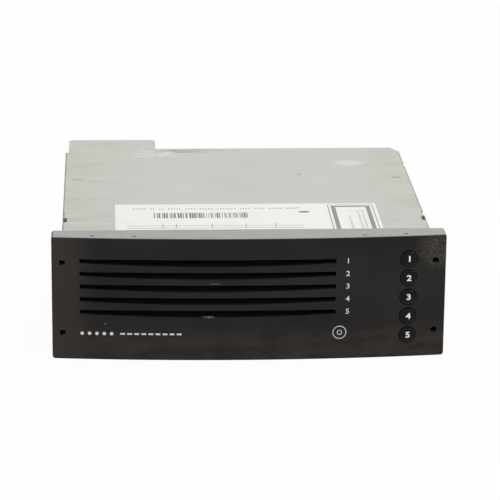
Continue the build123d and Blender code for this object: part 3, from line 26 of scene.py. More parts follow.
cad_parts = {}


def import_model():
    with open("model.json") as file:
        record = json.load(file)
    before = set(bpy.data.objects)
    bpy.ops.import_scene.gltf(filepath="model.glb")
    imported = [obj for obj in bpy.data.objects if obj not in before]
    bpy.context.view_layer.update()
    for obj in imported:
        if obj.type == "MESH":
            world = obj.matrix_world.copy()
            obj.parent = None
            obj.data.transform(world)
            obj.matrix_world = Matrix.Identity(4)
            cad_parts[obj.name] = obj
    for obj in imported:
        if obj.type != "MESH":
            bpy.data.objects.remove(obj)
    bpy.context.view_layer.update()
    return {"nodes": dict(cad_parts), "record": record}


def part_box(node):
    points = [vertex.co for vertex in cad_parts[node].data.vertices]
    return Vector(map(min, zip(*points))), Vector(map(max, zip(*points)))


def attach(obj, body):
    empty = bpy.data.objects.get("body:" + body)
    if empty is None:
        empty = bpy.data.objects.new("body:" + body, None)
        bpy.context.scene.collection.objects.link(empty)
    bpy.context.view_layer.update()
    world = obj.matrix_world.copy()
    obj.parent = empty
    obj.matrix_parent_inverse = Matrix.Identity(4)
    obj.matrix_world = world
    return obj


LOG = logging.getLogger("changer")
MM = 0.001

Colour = tuple[float, float, float]
Point = tuple[float, float, float]
Span = tuple[float, float]

BLACK: Colour = (0.0, 0.0, 0.0)
WHITE: Colour = (1.0, 1.0, 1.0)
RIGHT, BACK, UP = Vector((1, 0, 0)), Vector((0, 1, 0)), Vector((0, 0, 1))
DISCS = 5


def srgb(red: int, green: int, blue: int) -> Colour:
    """Turns a screen colour into the linear colour of a shader.

    Args:
        red: Red, from 0 to 255.
        green: Green, from 0 to 255.
        blue: Blue, from 0 to 255.

    Returns:
        The linear red, green and blue, from 0 to 1.
    """
    def linear(level: int) -> float:
        """Undoes the screen's curve for one channel."""
        share = level / 255
        return share / 12.92 if share <= 0.04045 else ((share + 0.055) / 1.055) ** 2.4

    return linear(red), linear(green), linear(blue)


def scaled(colour: Colour, factor: float) -> Colour:
    """Makes a colour lighter or darker.

    Args:
        colour: The linear colour.
        factor: What each channel is multiplied by.

    Returns:
        The new linear colour.
    """
    return tuple(min(1.0, channel * factor) for channel in colour)


def add_object(name: str, data: bpy.types.ID) -> bpy.types.Object:
    """Puts an object into the scene.

    Args:
        name: Its name.
        data: Its mesh, curve, lens or lamp.

    Returns:
        The object.
    """
    added = bpy.data.objects.new(name, data)
    bpy.context.scene.collection.objects.link(added)
    return added


@dataclass(frozen=True)
class Datum:
    """The middle of the fascia's seat, in the frame's metres."""

    RIM_TOP: ClassVar[float] = 30.25    # the fascia's upper edge over the middle of the body

    y: float
    z: float

    @classmethod
    def of_frame(cls) -> Datum:
        """Finds the datum from the fascia's own box."""
        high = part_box("front_panel")[1]
        return cls(y=high.y, z=high.z - cls.RIM_TOP * MM)

    def at(self, x: float, y: float, z: float) -> Vector:
        """Takes a place from the datum to the frame.

        Args:
            x: To the right, in millimetres.
            y: Back, in millimetres.
            z: Up, in millimetres.

        Returns:
            The same point in the frame's metres.
        """
        return Vector((x * MM, self.y + y * MM, self.z + z * MM))


# ---- Shader arithmetic ----------------------------------------------------------------------


class Wire:
    """A number that varies over a surface and takes part in Python arithmetic."""

    def __init__(self, bench: Bench, socket: bpy.types.NodeSocket) -> None:
        """Wraps an output socket of a bench's tree."""
        self.bench = bench
        self.socket = socket

    def __add__(self, other: Number) -> Wire:
        """Adds."""
        return self.bench.maths("ADD", self, other)

    def __sub__(self, other: Number) -> Wire:
        """Subtracts."""
        return self.bench.maths("SUBTRACT", self, other)

    def __rsub__(self, other: Number) -> Wire:
        """Subtracts this from a number."""
        return self.bench.maths("SUBTRACT", other, self)

    def __mul__(self, other: Number) -> Wire:
        """Multiplies."""
        return self.bench.maths("MULTIPLY", self, other)

    __radd__ = __add__
    __rmul__ = __mul__

    def __truediv__(self, other: Number) -> Wire:
        """Divides."""
        return self.bench.maths("DIVIDE", self, other)

    def __abs__(self) -> Wire:
        """Drops the sign."""
        return self.bench.maths("ABSOLUTE", self)

    def __or__(self, other: Wire) -> Wire:
        """Joins two masks without passing 1."""
        return 1 - (1 - self) * (1 - other)

    def rise(self, low: float, high: float) -> Wire:
        """Rises smoothly from 0 to 1, or falls where low is above high.

        Args:
            low: The value that gives 0.
            high: The value that gives 1.

        Returns:
            The share, kept between 0 and 1.
        """
        if low > high:
            return 1 - self.rise(high, low)
        node = self.bench.node("MapRange", {"interpolation_type": "SMOOTHSTEP"},
                               {"Value": self, "From Min": low, "From Max": high})
        return Wire(self.bench, node.outputs[0])


Number = Union[Wire, float]
Tint = Union[bpy.types.NodeSocket, Colour]


class Bench:
    """The node tree of one world or material while it is laid out."""

    MIX_A, MIX_B, MIX_OUT = 6, 7, 2     # the colour sockets of a Mix node

    def __init__(self, tree: bpy.types.NodeTree) -> None:
        """Starts on an empty tree."""
        tree.nodes.clear()
        self.tree = tree

    def node(self, kind: str, settings: Optional[Mapping[str, Any]] = None,
             sockets: Optional[Mapping[Union[str, int], Any]] = None) -> bpy.types.Node:
        """Adds one node.

        Args:
            kind: The node's type, without its ShaderNode prefix.
            settings: Properties of the node, which are set first.
            sockets: What each input is given: a wire, a socket or a value.

        Returns:
            The node.
        """
        node = self.tree.nodes.new("ShaderNode" + kind)
        for name, value in (settings or {}).items():
            setattr(node, name, value)
        for key, value in (sockets or {}).items():
            self._feed(node.inputs[key], value)
        return node

    def _feed(self, socket: bpy.types.NodeSocket, value: Any) -> None:
        """Links or sets one input.

        Args:
            socket: The input.
            value: A wire, a socket, a number or a colour.
        """
        if isinstance(value, Wire):
            value = value.socket
        if isinstance(value, bpy.types.NodeSocket):
            self.tree.links.new(socket, value)
        elif socket.type == "RGBA":
            socket.default_value = (*value, 1.0)
        else:
            socket.default_value = value

    def maths(self, operation: str, *values: Number) -> Wire:
        """Adds one Math node.

        Args:
            operation: The node's operation.
            values: Its one or two operands.

        Returns:
            The result.
        """
        node = self.node("Math", {"operation": operation}, dict(enumerate(values)))
        return Wire(self, node.outputs[0])

    def mix(self, share: Number, first: Tint, second: Tint) -> bpy.types.NodeSocket:
        """Mixes two colours.

        Args:
            share: How much of the second shows.
            first: The colour at 0.
            second: The colour at 1.

        Returns:
            The mixed colour.
        """
        node = self.node("Mix", {"data_type": "RGBA"},
                         {0: share, self.MIX_A: first, self.MIX_B: second})
        return node.outputs[self.MIX_OUT]

    def bump(self, height: Wire, relief: float) -> bpy.types.NodeSocket:
        """Turns a height pattern into a slope of the surface.

        Args:
            height: The pattern, from 0 to 1.
            relief: What a height of 1 stands for, in millimetres.

        Returns:
            The normal.
        """
        node = self.node("Bump", sockets={"Height": height, "Distance": relief * MM})
        return node.outputs[0]


class SurfaceBench(Bench):
    """The tree of one material, which knows where each point of its surface is at rest."""

    def __init__(self, tree: bpy.types.NodeTree, datum: Datum) -> None:
        """Starts with the place of each point, in millimetres.

        Args:
            tree: The material's tree.
            datum: Where the millimetres count from.
        """
        super().__init__(tree)
        local = self.node("TexCoord").outputs["Object"]
        moved = self.node("VectorMath", {"operation": "SUBTRACT"},
                          {0: local, 1: (0.0, datum.y, datum.z)}).outputs[0]
        self.place = self.node("VectorMath", {"operation": "SCALE"},
                               {0: moved, "Scale": 1 / MM}).outputs[0]
        parts = self.node("SeparateXYZ", sockets={0: self.place}).outputs
        self.x, self.y, self.z = (Wire(self, part) for part in parts)

    def noise(self, size: float, stretch: Point = (1, 1, 1), detail: float = 3.0) -> Wire:
        """Gives a cloudy pattern.

        Args:
            size: How wide one cloud is, in millimetres.
            stretch: How much longer it is along each axis.
            detail: How many finer layers it holds.

        Returns:
            A number about 0.5.
        """
        drawn = self.node("VectorMath", {"operation": "DIVIDE"},
                          {0: self.place, 1: tuple(size * part for part in stretch)})
        node = self.node("TexNoise", sockets={"Vector": drawn.outputs[0], "Scale": 1.0,
                                              "Detail": detail, "Roughness": 0.55})
        return Wire(self, node.outputs[0])

    def cells(self, size: float) -> Wire:
        """Gives a random level to each crystal of a broken-up surface.

        Args:
            size: How wide a crystal is, in millimetres.

        Returns:
            A number from 0 to 1.
        """
        node = self.node("TexVoronoi", sockets={"Vector": self.place, "Scale": 1 / size})
        level = self.node("SeparateColor", sockets={0: node.outputs["Color"]}).outputs[0]
        return Wire(self, level)

    def surface(self, sockets: Mapping[str, Any]) -> None:
        """Ends the tree in one shader.

        Args:
            sockets: What the shader's inputs are given.
        """
        shader = self.node("BsdfPrincipled", sockets=sockets)
        self.node("OutputMaterial", sockets={0: shader.outputs[0]})


@dataclass(frozen=True)
class Patch:
    """A soft-edged oval that holds one mark of wear, in millimetres from the datum."""

    middle: Point
    reach: Point                # half its length along each axis
    soft: float = 0.5           # the share of the reach over which it fades

    def on(self, bench: SurfaceBench) -> Wire:
        """Is 1 inside the oval and fades out round it.

        Args:
            bench: The material's tree.

        Returns:
            The share, from 0 to 1.
        """
        axes = zip((bench.x, bench.y, bench.z), self.middle, self.reach)
        across = [(along - middle) / reach for along, middle, reach in axes]
        squares = [part * part for part in across]
        return (squares[0] + squares[1] + squares[2]).rise(1.0, (1 - self.soft) ** 2)


# ---- Finishes -------------------------------------------------------------------------------


class Axis(Enum):
    """The way that a metal was drawn, rolled or turned."""

    ACROSS = (40.0, 1.0, 1.0)
    ALONG = (1.0, 40.0, 1.0)
    UPRIGHT = (1.0, 1.0, 40.0)


@dataclass(frozen=True)
class Finish(ABC):
    """What a surface is made of and how it is worn."""

    name: str

    @abstractmethod
    def lay(self, bench: SurfaceBench) -> None:
        """Lays the finish out.

        Args:
            bench: The material's tree.
        """

    def material(self, datum: Datum) -> bpy.types.Material:
        """Makes the material.

        Args:
            datum: Where the finish counts its millimetres from.

        Returns:
            The material, named for the finish.
        """
        material = bpy.data.materials.new(self.name)
        material.use_nodes = True
        self.lay(SurfaceBench(material.node_tree, datum))
        return material


@dataclass(frozen=True)
class Moulding(Finish):
    """Moulded plastic or rubber with a fine texture."""

    colour: Colour
    roughness: float = 0.45
    grain: float = 0.3          # width of the texture
    relief: float = 0.006       # depth of the texture
    mottle: float = 0.08        # how far the tone wanders
    gloss: float = 0.4

    def lay(self, bench: SurfaceBench) -> None:
        """Lays the plain moulded surface.

        Args:
            bench: The material's tree.
        """
        broad = bench.noise(16.0)
        fine = bench.noise(self.grain, detail=2.0)
        tone = bench.mix(broad, scaled(self.colour, 1 - 2 * self.mottle),
                         scaled(self.colour, 1 + 2 * self.mottle))
        bench.surface({"Base Color": tone, "Specular IOR Level": self.gloss,
                       "Roughness": self.roughness + (broad - 0.5) * 0.1 + (fine - 0.5) * 0.08,
                       "Normal": bench.bump(fine, self.relief)})


@dataclass(frozen=True)
class FasciaMoulding(Moulding):
    """The fascia's satin black, handled and dusted, with a painted sheen on the rim's top."""

    dirt: Colour = srgb(62, 54, 49)
    scuff: Colour = srgb(112, 100, 91)
    fleck: Colour = srgb(196, 176, 158)
    # pale grey of the dusting and of the painted sheen on the rim's top
    dust: Colour = srgb(168, 166, 163)
    grime_z: Span = (-10.0, -22.0)      # where the grime begins and is full, downwards
    grime_x: Span = (-70.0, -90.0)      # the same, towards the left end
    dusty: Span = (0.4, 0.02)           # where the pale film of dusting and painted sheen begins and is full, under the rim's top
    corner: Patch = Patch((91.0, -10.0, 24.0), (14.0, 10.0, 13.0), 0.9)
    chip: Patch = Patch((-19.4, -14.2, -8.3), (4.6, 3.0, 1.1))
    rubs: tuple[Patch, ...] = (Patch((-16.3, -15.0, 7.8), (3.2, 2.0, 0.35), 0.6),
                               Patch((-14.0, -15.0, 4.0), (6.0, 2.0, 0.4), 0.6),
                               Patch((-28.6, -15.0, -1.7), (1.0, 2.0, 0.4), 0.6),
                               Patch((-68.7, -12.0, -12.4), (0.9, 2.0, 0.6), 0.6))

    def lay(self, bench: SurfaceBench) -> None:
        """Lays the satin with its grime and scuffs, and the dusting and painted sheen on the rim's
        top.

        Args:
            bench: The material's tree.
        """
        broad = bench.noise(22.0, (2.5, 1.0, 1.0))
        fine = bench.noise(self.grain, detail=2.0)
        smear = bench.noise(7.0, (2.2, 1.0, 0.7), detail=5.0)
        specks = bench.noise(1.1, detail=4.0)
        tone = bench.mix(broad.rise(0.3, 0.7), scaled(self.colour, 0.8), scaled(self.colour, 1.25))
        low_band = bench.z.rise(*self.grime_z) * smear.rise(0.2, 0.85)
        left_end = bench.x.rise(*self.grime_x) * 0.75
        tone = bench.mix((low_band | left_end) * 0.75, tone, self.dirt)
        corner = self.corner.on(bench) * specks.rise(0.3, 0.75)
        tone = bench.mix(corner * 0.42, tone, self.scuff)
        rubs = reduce(or_, (rub.on(bench) * fine.rise(0.35, 0.6) for rub in self.rubs))
        tone = bench.mix(rubs * 0.8, tone, scaled(self.scuff, 1.2))
        tone = bench.mix(self.chip.on(bench) * specks.rise(0.38, 0.48), tone, self.fleck)
        # the rim's top turns pale grey: a dusting, and a painted sheen that stands in for the light
        # it reflects at a grazing angle
        top = bench.z.rise(*(Datum.RIM_TOP - depth for depth in self.dusty))
        film = top * (0.78 + 0.26 * smear)
        bench.surface({"Base Color": bench.mix(film, tone, self.dust),
                       "Specular IOR Level": self.gloss,
                       "Roughness": self.roughness + (smear - 0.5) * 0.16 + (fine - 0.5) * 0.06,
                       "Normal": bench.bump(fine, self.relief)})


@dataclass(frozen=True)
class SheetSteel(Finish):
    """Galvanised sheet, with its crystals and rolling marks."""

    colour: Colour
    roughness: float = 0.5
    crystal: float = 5.0        # width of a zinc crystal
    metal: float = 0.6

    def lay(self, bench: SurfaceBench) -> None:
        """Lays the plain sheet."""
        self._roll(bench, self.colour, None)

    def _roll(self, bench: SurfaceBench, colour: Tint, relief: Optional[Wire]) -> None:
        """Lays the sheet's own pattern over a colour.

        Args:
            bench: The material's tree.
            colour: The colour under the pattern.
            relief: Dents to add to the rolling marks, from 0 to 1.
        """
        crystals = bench.cells(self.crystal)
        streaks = bench.noise(1.1, (30.0, 1.0, 30.0))
        clouds = bench.noise(34.0)
        shade = (crystals - 0.5) * 0.05 + (streaks - 0.5) * 0.16 + (clouds - 0.5) * 0.24
        darker = bench.mix((0.0 - shade).rise(0.0, 0.4), colour, BLACK)
        tone = bench.mix(shade.rise(0.0, 0.4) * 0.5, darker, WHITE)
        height = streaks if relief is None else streaks * 0.3 + relief
        bench.surface({"Base Color": tone, "Metallic": self.metal,
                       "Roughness": (self.roughness + (crystals - 0.5) * 0.05
                                     + (streaks - 0.5) * 0.12),
                       "Normal": bench.bump(height, 0.02)})


@dataclass(frozen=True)
class LidSteel(SheetSteel):
    """The lid's sheet, stained along its ends and scraped at the rear corner."""

    stain: Colour = srgb(186, 184, 168)
    scrape: Colour = srgb(238, 238, 232)
    # grey of the faint streaks, and of the painted shade in the crease, in a slit and along the
    # folded edges
    shadow: Colour = srgb(104, 104, 98)
    left_end: Span = (-36.0, -84.0)     # where the stains begin and are full
    right_end: Span = (52.0, 88.0)
    fold_x: Span = (88.3, 88.9)         # where the painted shade runs along each folded long edge
    fold_y: Span = (165.0, 162.0)
    fold_z: Span = (24.1, 24.5)
    # a paler oval on the right of the lid
    smudge: Patch = Patch((59.8, 135.2, 25.0), (11.0, 7.0, 4.0), 1.0)
    gouge: Patch = Patch((-42.0, 154.5, 25.0), (19.0, 8.0, 4.0), 0.8)
    crease: Patch = Patch((-20.0, 160.5, 25.0), (30.0, 4.5, 4.0), 0.7)
    # two dark marks: the painted shade of a lanced slit near the right edge, and a small dark spot
    nicks: tuple[Patch, Patch] = (Patch((82.5, 108.4, 25.0), (2.6, 0.7, 4.0)),
                                  Patch((32.2, 114.1, 25.0), (1.2, 1.6, 4.0)))

    def lay(self, bench: SurfaceBench) -> None:
        """Lays the sheet with its stains, scrapes and dents, and the painted shade along its folded
        edges, in its crease and in a slit.

        Args:
            bench: The material's tree.
        """
        wipe = bench.noise(5.5, (6.0, 1.0, 1.0), detail=5.0)
        blotch = bench.noise(16.0, (1.8, 1.0, 1.0), detail=3.0)
        torn = bench.noise(1.2, (7.0, 1.0, 1.0), detail=4.0)
        left, right = bench.x.rise(*self.left_end), bench.x.rise(*self.right_end)
        tone = bench.mix((left + right) * blotch.rise(0.35, 0.7) * 0.8, self.colour, self.stain)
        tone = bench.mix((left + right * 0.4) * wipe.rise(0.52, 0.72) * 0.16, tone, self.shadow)
        # lighter in a soft oval on the right
        tone = bench.mix(self.smudge.on(bench) * 0.3, tone, self.scrape)
        gouge = self.gouge.on(bench) * torn.rise(0.52, 0.6)
        crease = self.crease.on(bench) * torn.rise(0.48, 0.4)
        tone = bench.mix(gouge, tone, self.scrape)
        # painted shade in the crease of the dent
        tone = bench.mix(crease * 0.9, tone, self.shadow)
        # painted shade of the lanced slit, and a small dark spot
        slit_and_spot_mask = self.nicks[0].on(bench) + self.nicks[1].on(bench)
        tone = bench.mix(slit_and_spot_mask * 0.5, tone, self.shadow)
        # painted shade: a dark line along each folded long edge, where the bend turns away from the
        # light
        fold_shade = (abs(bench.x).rise(*self.fold_x) * bench.z.rise(*self.fold_z)
                * bench.y.rise(*self.fold_y))
        tone = bench.mix(fold_shade * (0.35 + 0.5 * blotch), tone, scaled(self.shadow, 0.6))
        self._roll(bench, tone, (gouge - crease) * 3.0)


@dataclass(frozen=True)
class DrawnMetal(Finish):
    """Bright metal with fine marks along one way."""

    colour: Colour
    roughness: float = 0.3
    way: Axis = Axis.ALONG
    metal: float = 1.0

    def lay(self, bench: SurfaceBench) -> None:
        """Lays the drawn or turned metal.

        Args:
            bench: The material's tree.
        """
        marks = bench.noise(0.35, self.way.value)
        clouds = bench.noise(9.0)
        tone = bench.mix(marks.rise(0.3, 0.7), scaled(self.colour, 0.86), scaled(self.colour, 1.1))
        tone = bench.mix((clouds - 0.45).rise(0.0, 0.3) * 0.35, tone, scaled(self.colour, 0.7))
        bench.surface({"Base Color": tone, "Metallic": self.metal,
                       "Roughness": self.roughness + (marks - 0.5) * 0.16 + (clouds - 0.5) * 0.1,
                       "Normal": bench.bump(marks, 0.004)})


@dataclass(frozen=True)
class Paper(Finish):
    """The white stock of the label, a little handled."""

    colour: Colour
    soil: Colour = srgb(214, 210, 196)

    def lay(self, bench: SurfaceBench) -> None:
        """Lays the paper with its fibres and soiled edge.

        Args:
            bench: The material's tree.
        """
        fibre = bench.noise(0.5, (1.6, 1.0, 1.0), detail=4.0)
        soil = bench.noise(9.0, (1.8, 1.0, 1.0), detail=4.0)
        tone = bench.mix(fibre.rise(0.35, 0.65), scaled(self.colour, 0.965), self.colour)
        tone = bench.mix(soil.rise(0.55, 0.8) * 0.4, tone, self.soil)
        bench.surface({"Base Color": tone, "Roughness": 0.5 + (fibre - 0.5) * 0.2,
                       "Specular IOR Level": 0.35,
                       "Normal": bench.bump(fibre + soil * 1.5, 0.012)})


@dataclass(frozen=True)
class PrintedBoard(Finish):
    """Solder mask over copper tracks."""

    mask: Colour
    copper: Colour

    def lay(self, bench: SurfaceBench) -> None:
        """Lays tracks that run square to each other on an upright board.

        Args:
            bench: The material's tree.
        """
        turned = bench.node("CombineXYZ", sockets={0: bench.x + bench.y, 1: bench.z})
        tracks = bench.node("TexBrick", {"offset": 0.37, "offset_frequency": 3, "squash": 2.6},
                            {"Vector": turned.outputs[0], "Scale": 0.28, "Mortar Size": 0.06,
                             "Color1": BLACK, "Color2": BLACK, "Mortar": WHITE})
        line = Wire(bench, tracks.outputs["Fac"])
        clouds = bench.noise(11.0)
        mask = bench.mix(clouds, scaled(self.mask, 0.8), self.mask)
        bench.surface({"Base Color": bench.mix(line * 0.7, mask, self.copper),
                       "Roughness": 0.32 + (clouds - 0.5) * 0.1,
                       "Normal": bench.bump(line, 0.03)})


@dataclass(frozen=True)
class CanSleeve(Finish):
    """A shrunk sleeve over an aluminium can that lies across."""

    sleeve: Colour
    end: Colour
    end_x: float                # where the bare end shows, from the datum

    def lay(self, bench: SurfaceBench) -> None:
        """Lays the sleeve, and the bare metal at the far end.

        Args:
            bench: The material's tree.
        """
        bare = bench.x.rise(self.end_x + 0.1, self.end_x)
        fine = bench.noise(0.8)
        bench.surface({"Base Color": bench.mix(bare, scaled(self.sleeve, 1.1), self.end),
                       "Metallic": bare, "Roughness": 0.24 + fine * 0.16,
                       "Normal": bench.bump(fine, 0.01)})


@dataclass(frozen=True)
class FlatCable(Finish):
    """White film over a row of conductors."""

    film: Colour
    core: Colour
    pitch: float = 1.0

    def lay(self, bench: SurfaceBench) -> None:
        """Lays the ribs of the conductors, one above the other.

        Args:
            bench: The material's tree.
        """
        phase = bench.maths("FRACT", bench.z / self.pitch)
        rib = abs(phase - 0.5).rise(0.34, 0.18)
        wrinkle = bench.noise(6.0)
        bench.surface({"Base Color": bench.mix(rib * 0.6, self.film, self.core),
                       "Roughness": 0.4 + (wrinkle - 0.5) * 0.14,
                       "Normal": bench.bump(rib, 0.05)})


@dataclass(frozen=True)
class Ink(Finish):
    """A thin printed layer, rubbed here and there."""

    colour: Colour
    worn: Colour

    def lay(self, bench: SurfaceBench) -> None:
        """Lays the ink with its pinholes.

        Args:
            bench: The material's tree.
        """
        rub = bench.noise(0.6, detail=4.0)
        bench.surface({"Base Color": bench.mix(rub.rise(0.56, 0.72) * 0.6, self.colour, self.worn),
                       "Roughness": 0.4 + (rub - 0.5) * 0.2,
                       "Normal": bench.bump(rub, 0.004)})


BLACK_INK = Ink("label_ink", srgb(92, 92, 90), srgb(140, 140, 137))
GREY_INK = Ink("label_grey_ink", srgb(122, 122, 120), srgb(146, 146, 143))
FACE_INK = Ink("face_ink", srgb(214, 214, 210), srgb(120, 119, 116))
CAP_INK = Ink("cap_ink", srgb(236, 236, 232), srgb(150, 150, 148))

FINISHES: dict[str, Finish] = {finish.name: finish for finish in (
    FasciaMoulding("fascia_black", srgb(32, 31, 30), roughness=0.42, grain=0.22, gloss=0.12),
    # lighter than the real black, so that the shade inside the slots reads lighter: painted light
    Moulding("carrier_black", srgb(42, 42, 43), roughness=0.6, gloss=0.2),
    Moulding("button_black", srgb(8, 8, 8), roughness=0.17, grain=0.7, gloss=0.14),
    # lighter than the real black rubber, so that the shade inside the slots reads lighter: painted
    # light
    Moulding("black_rubber", srgb(76, 75, 73), roughness=0.75, gloss=0.3),
    PrintedBoard("board_green", srgb(28, 104, 58), srgb(120, 150, 84)),
    Moulding("switch_grey", srgb(148, 148, 146), roughness=0.4),
    Moulding("chip_black", srgb(34, 34, 35), roughness=0.5),
    CanSleeve("can_blue", srgb(34, 52, 112), srgb(196, 196, 198), end_x=72.65),
    DrawnMetal("screw_steel", srgb(184, 180, 166), roughness=0.32, way=Axis.ACROSS),
    SheetSteel("galvanised_tub", srgb(190, 191, 185), crystal=6.0),
    LidSteel("galvanised_lid", srgb(194, 195, 188)),
    Paper("label_paper", srgb(239, 239, 232)),
    DrawnMetal("spring_steel", srgb(188, 186, 180), roughness=0.26, way=Axis.UPRIGHT),
    DrawnMetal("bracket_steel", srgb(190, 190, 187), roughness=0.36),
    Moulding("socket_ivory", srgb(204, 198, 180), roughness=0.42),
    DrawnMetal("pin_gold", srgb(221, 190, 128), roughness=0.2),
    FlatCable("ribbon_white", srgb(216, 216, 213), srgb(168, 170, 172)),
    Moulding("acetal_white", srgb(206, 206, 203), roughness=0.36),
    Moulding("tray_grey", srgb(90, 90, 94), roughness=0.4),
    DrawnMetal("ground_steel", srgb(204, 204, 204), roughness=0.16),
    Moulding("acetal_black", srgb(52, 52, 52), roughness=0.4),
    Moulding("gear_natural", srgb(212, 209, 195), roughness=0.36),
    DrawnMetal("motor_can", srgb(184, 184, 182), roughness=0.28),
    Moulding("arm_grey", srgb(112, 112, 115), roughness=0.42),
    Moulding("table_black", srgb(48, 48, 48), roughness=0.55),
    DrawnMetal("pickup_zinc", srgb(178, 178, 180), roughness=0.45, metal=0.9),
)}


# ---- Printing -------------------------------------------------------------------------------


@dataclass(frozen=True)
class Plane:
    """A flat guide that a print is drawn on before it is laid on the surface behind it."""

    origin: Vector
    right: Vector
    up: Vector

    @property
    def out(self) -> Vector:
        """The way that the print faces."""
        return self.right.cross(self.up)

    def at(self, u: float, v: float, lift: float = 0.0) -> Vector:
        """Gives a point of the guide.

        Args:
            u: To the right on the print, in millimetres.
            v: Up on the print, in millimetres.
            lift: Off the guide, in metres.

        Returns:
            The point in the frame.
        """
        return self.origin + self.right * (u * MM) + self.up * (v * MM) + self.out * lift


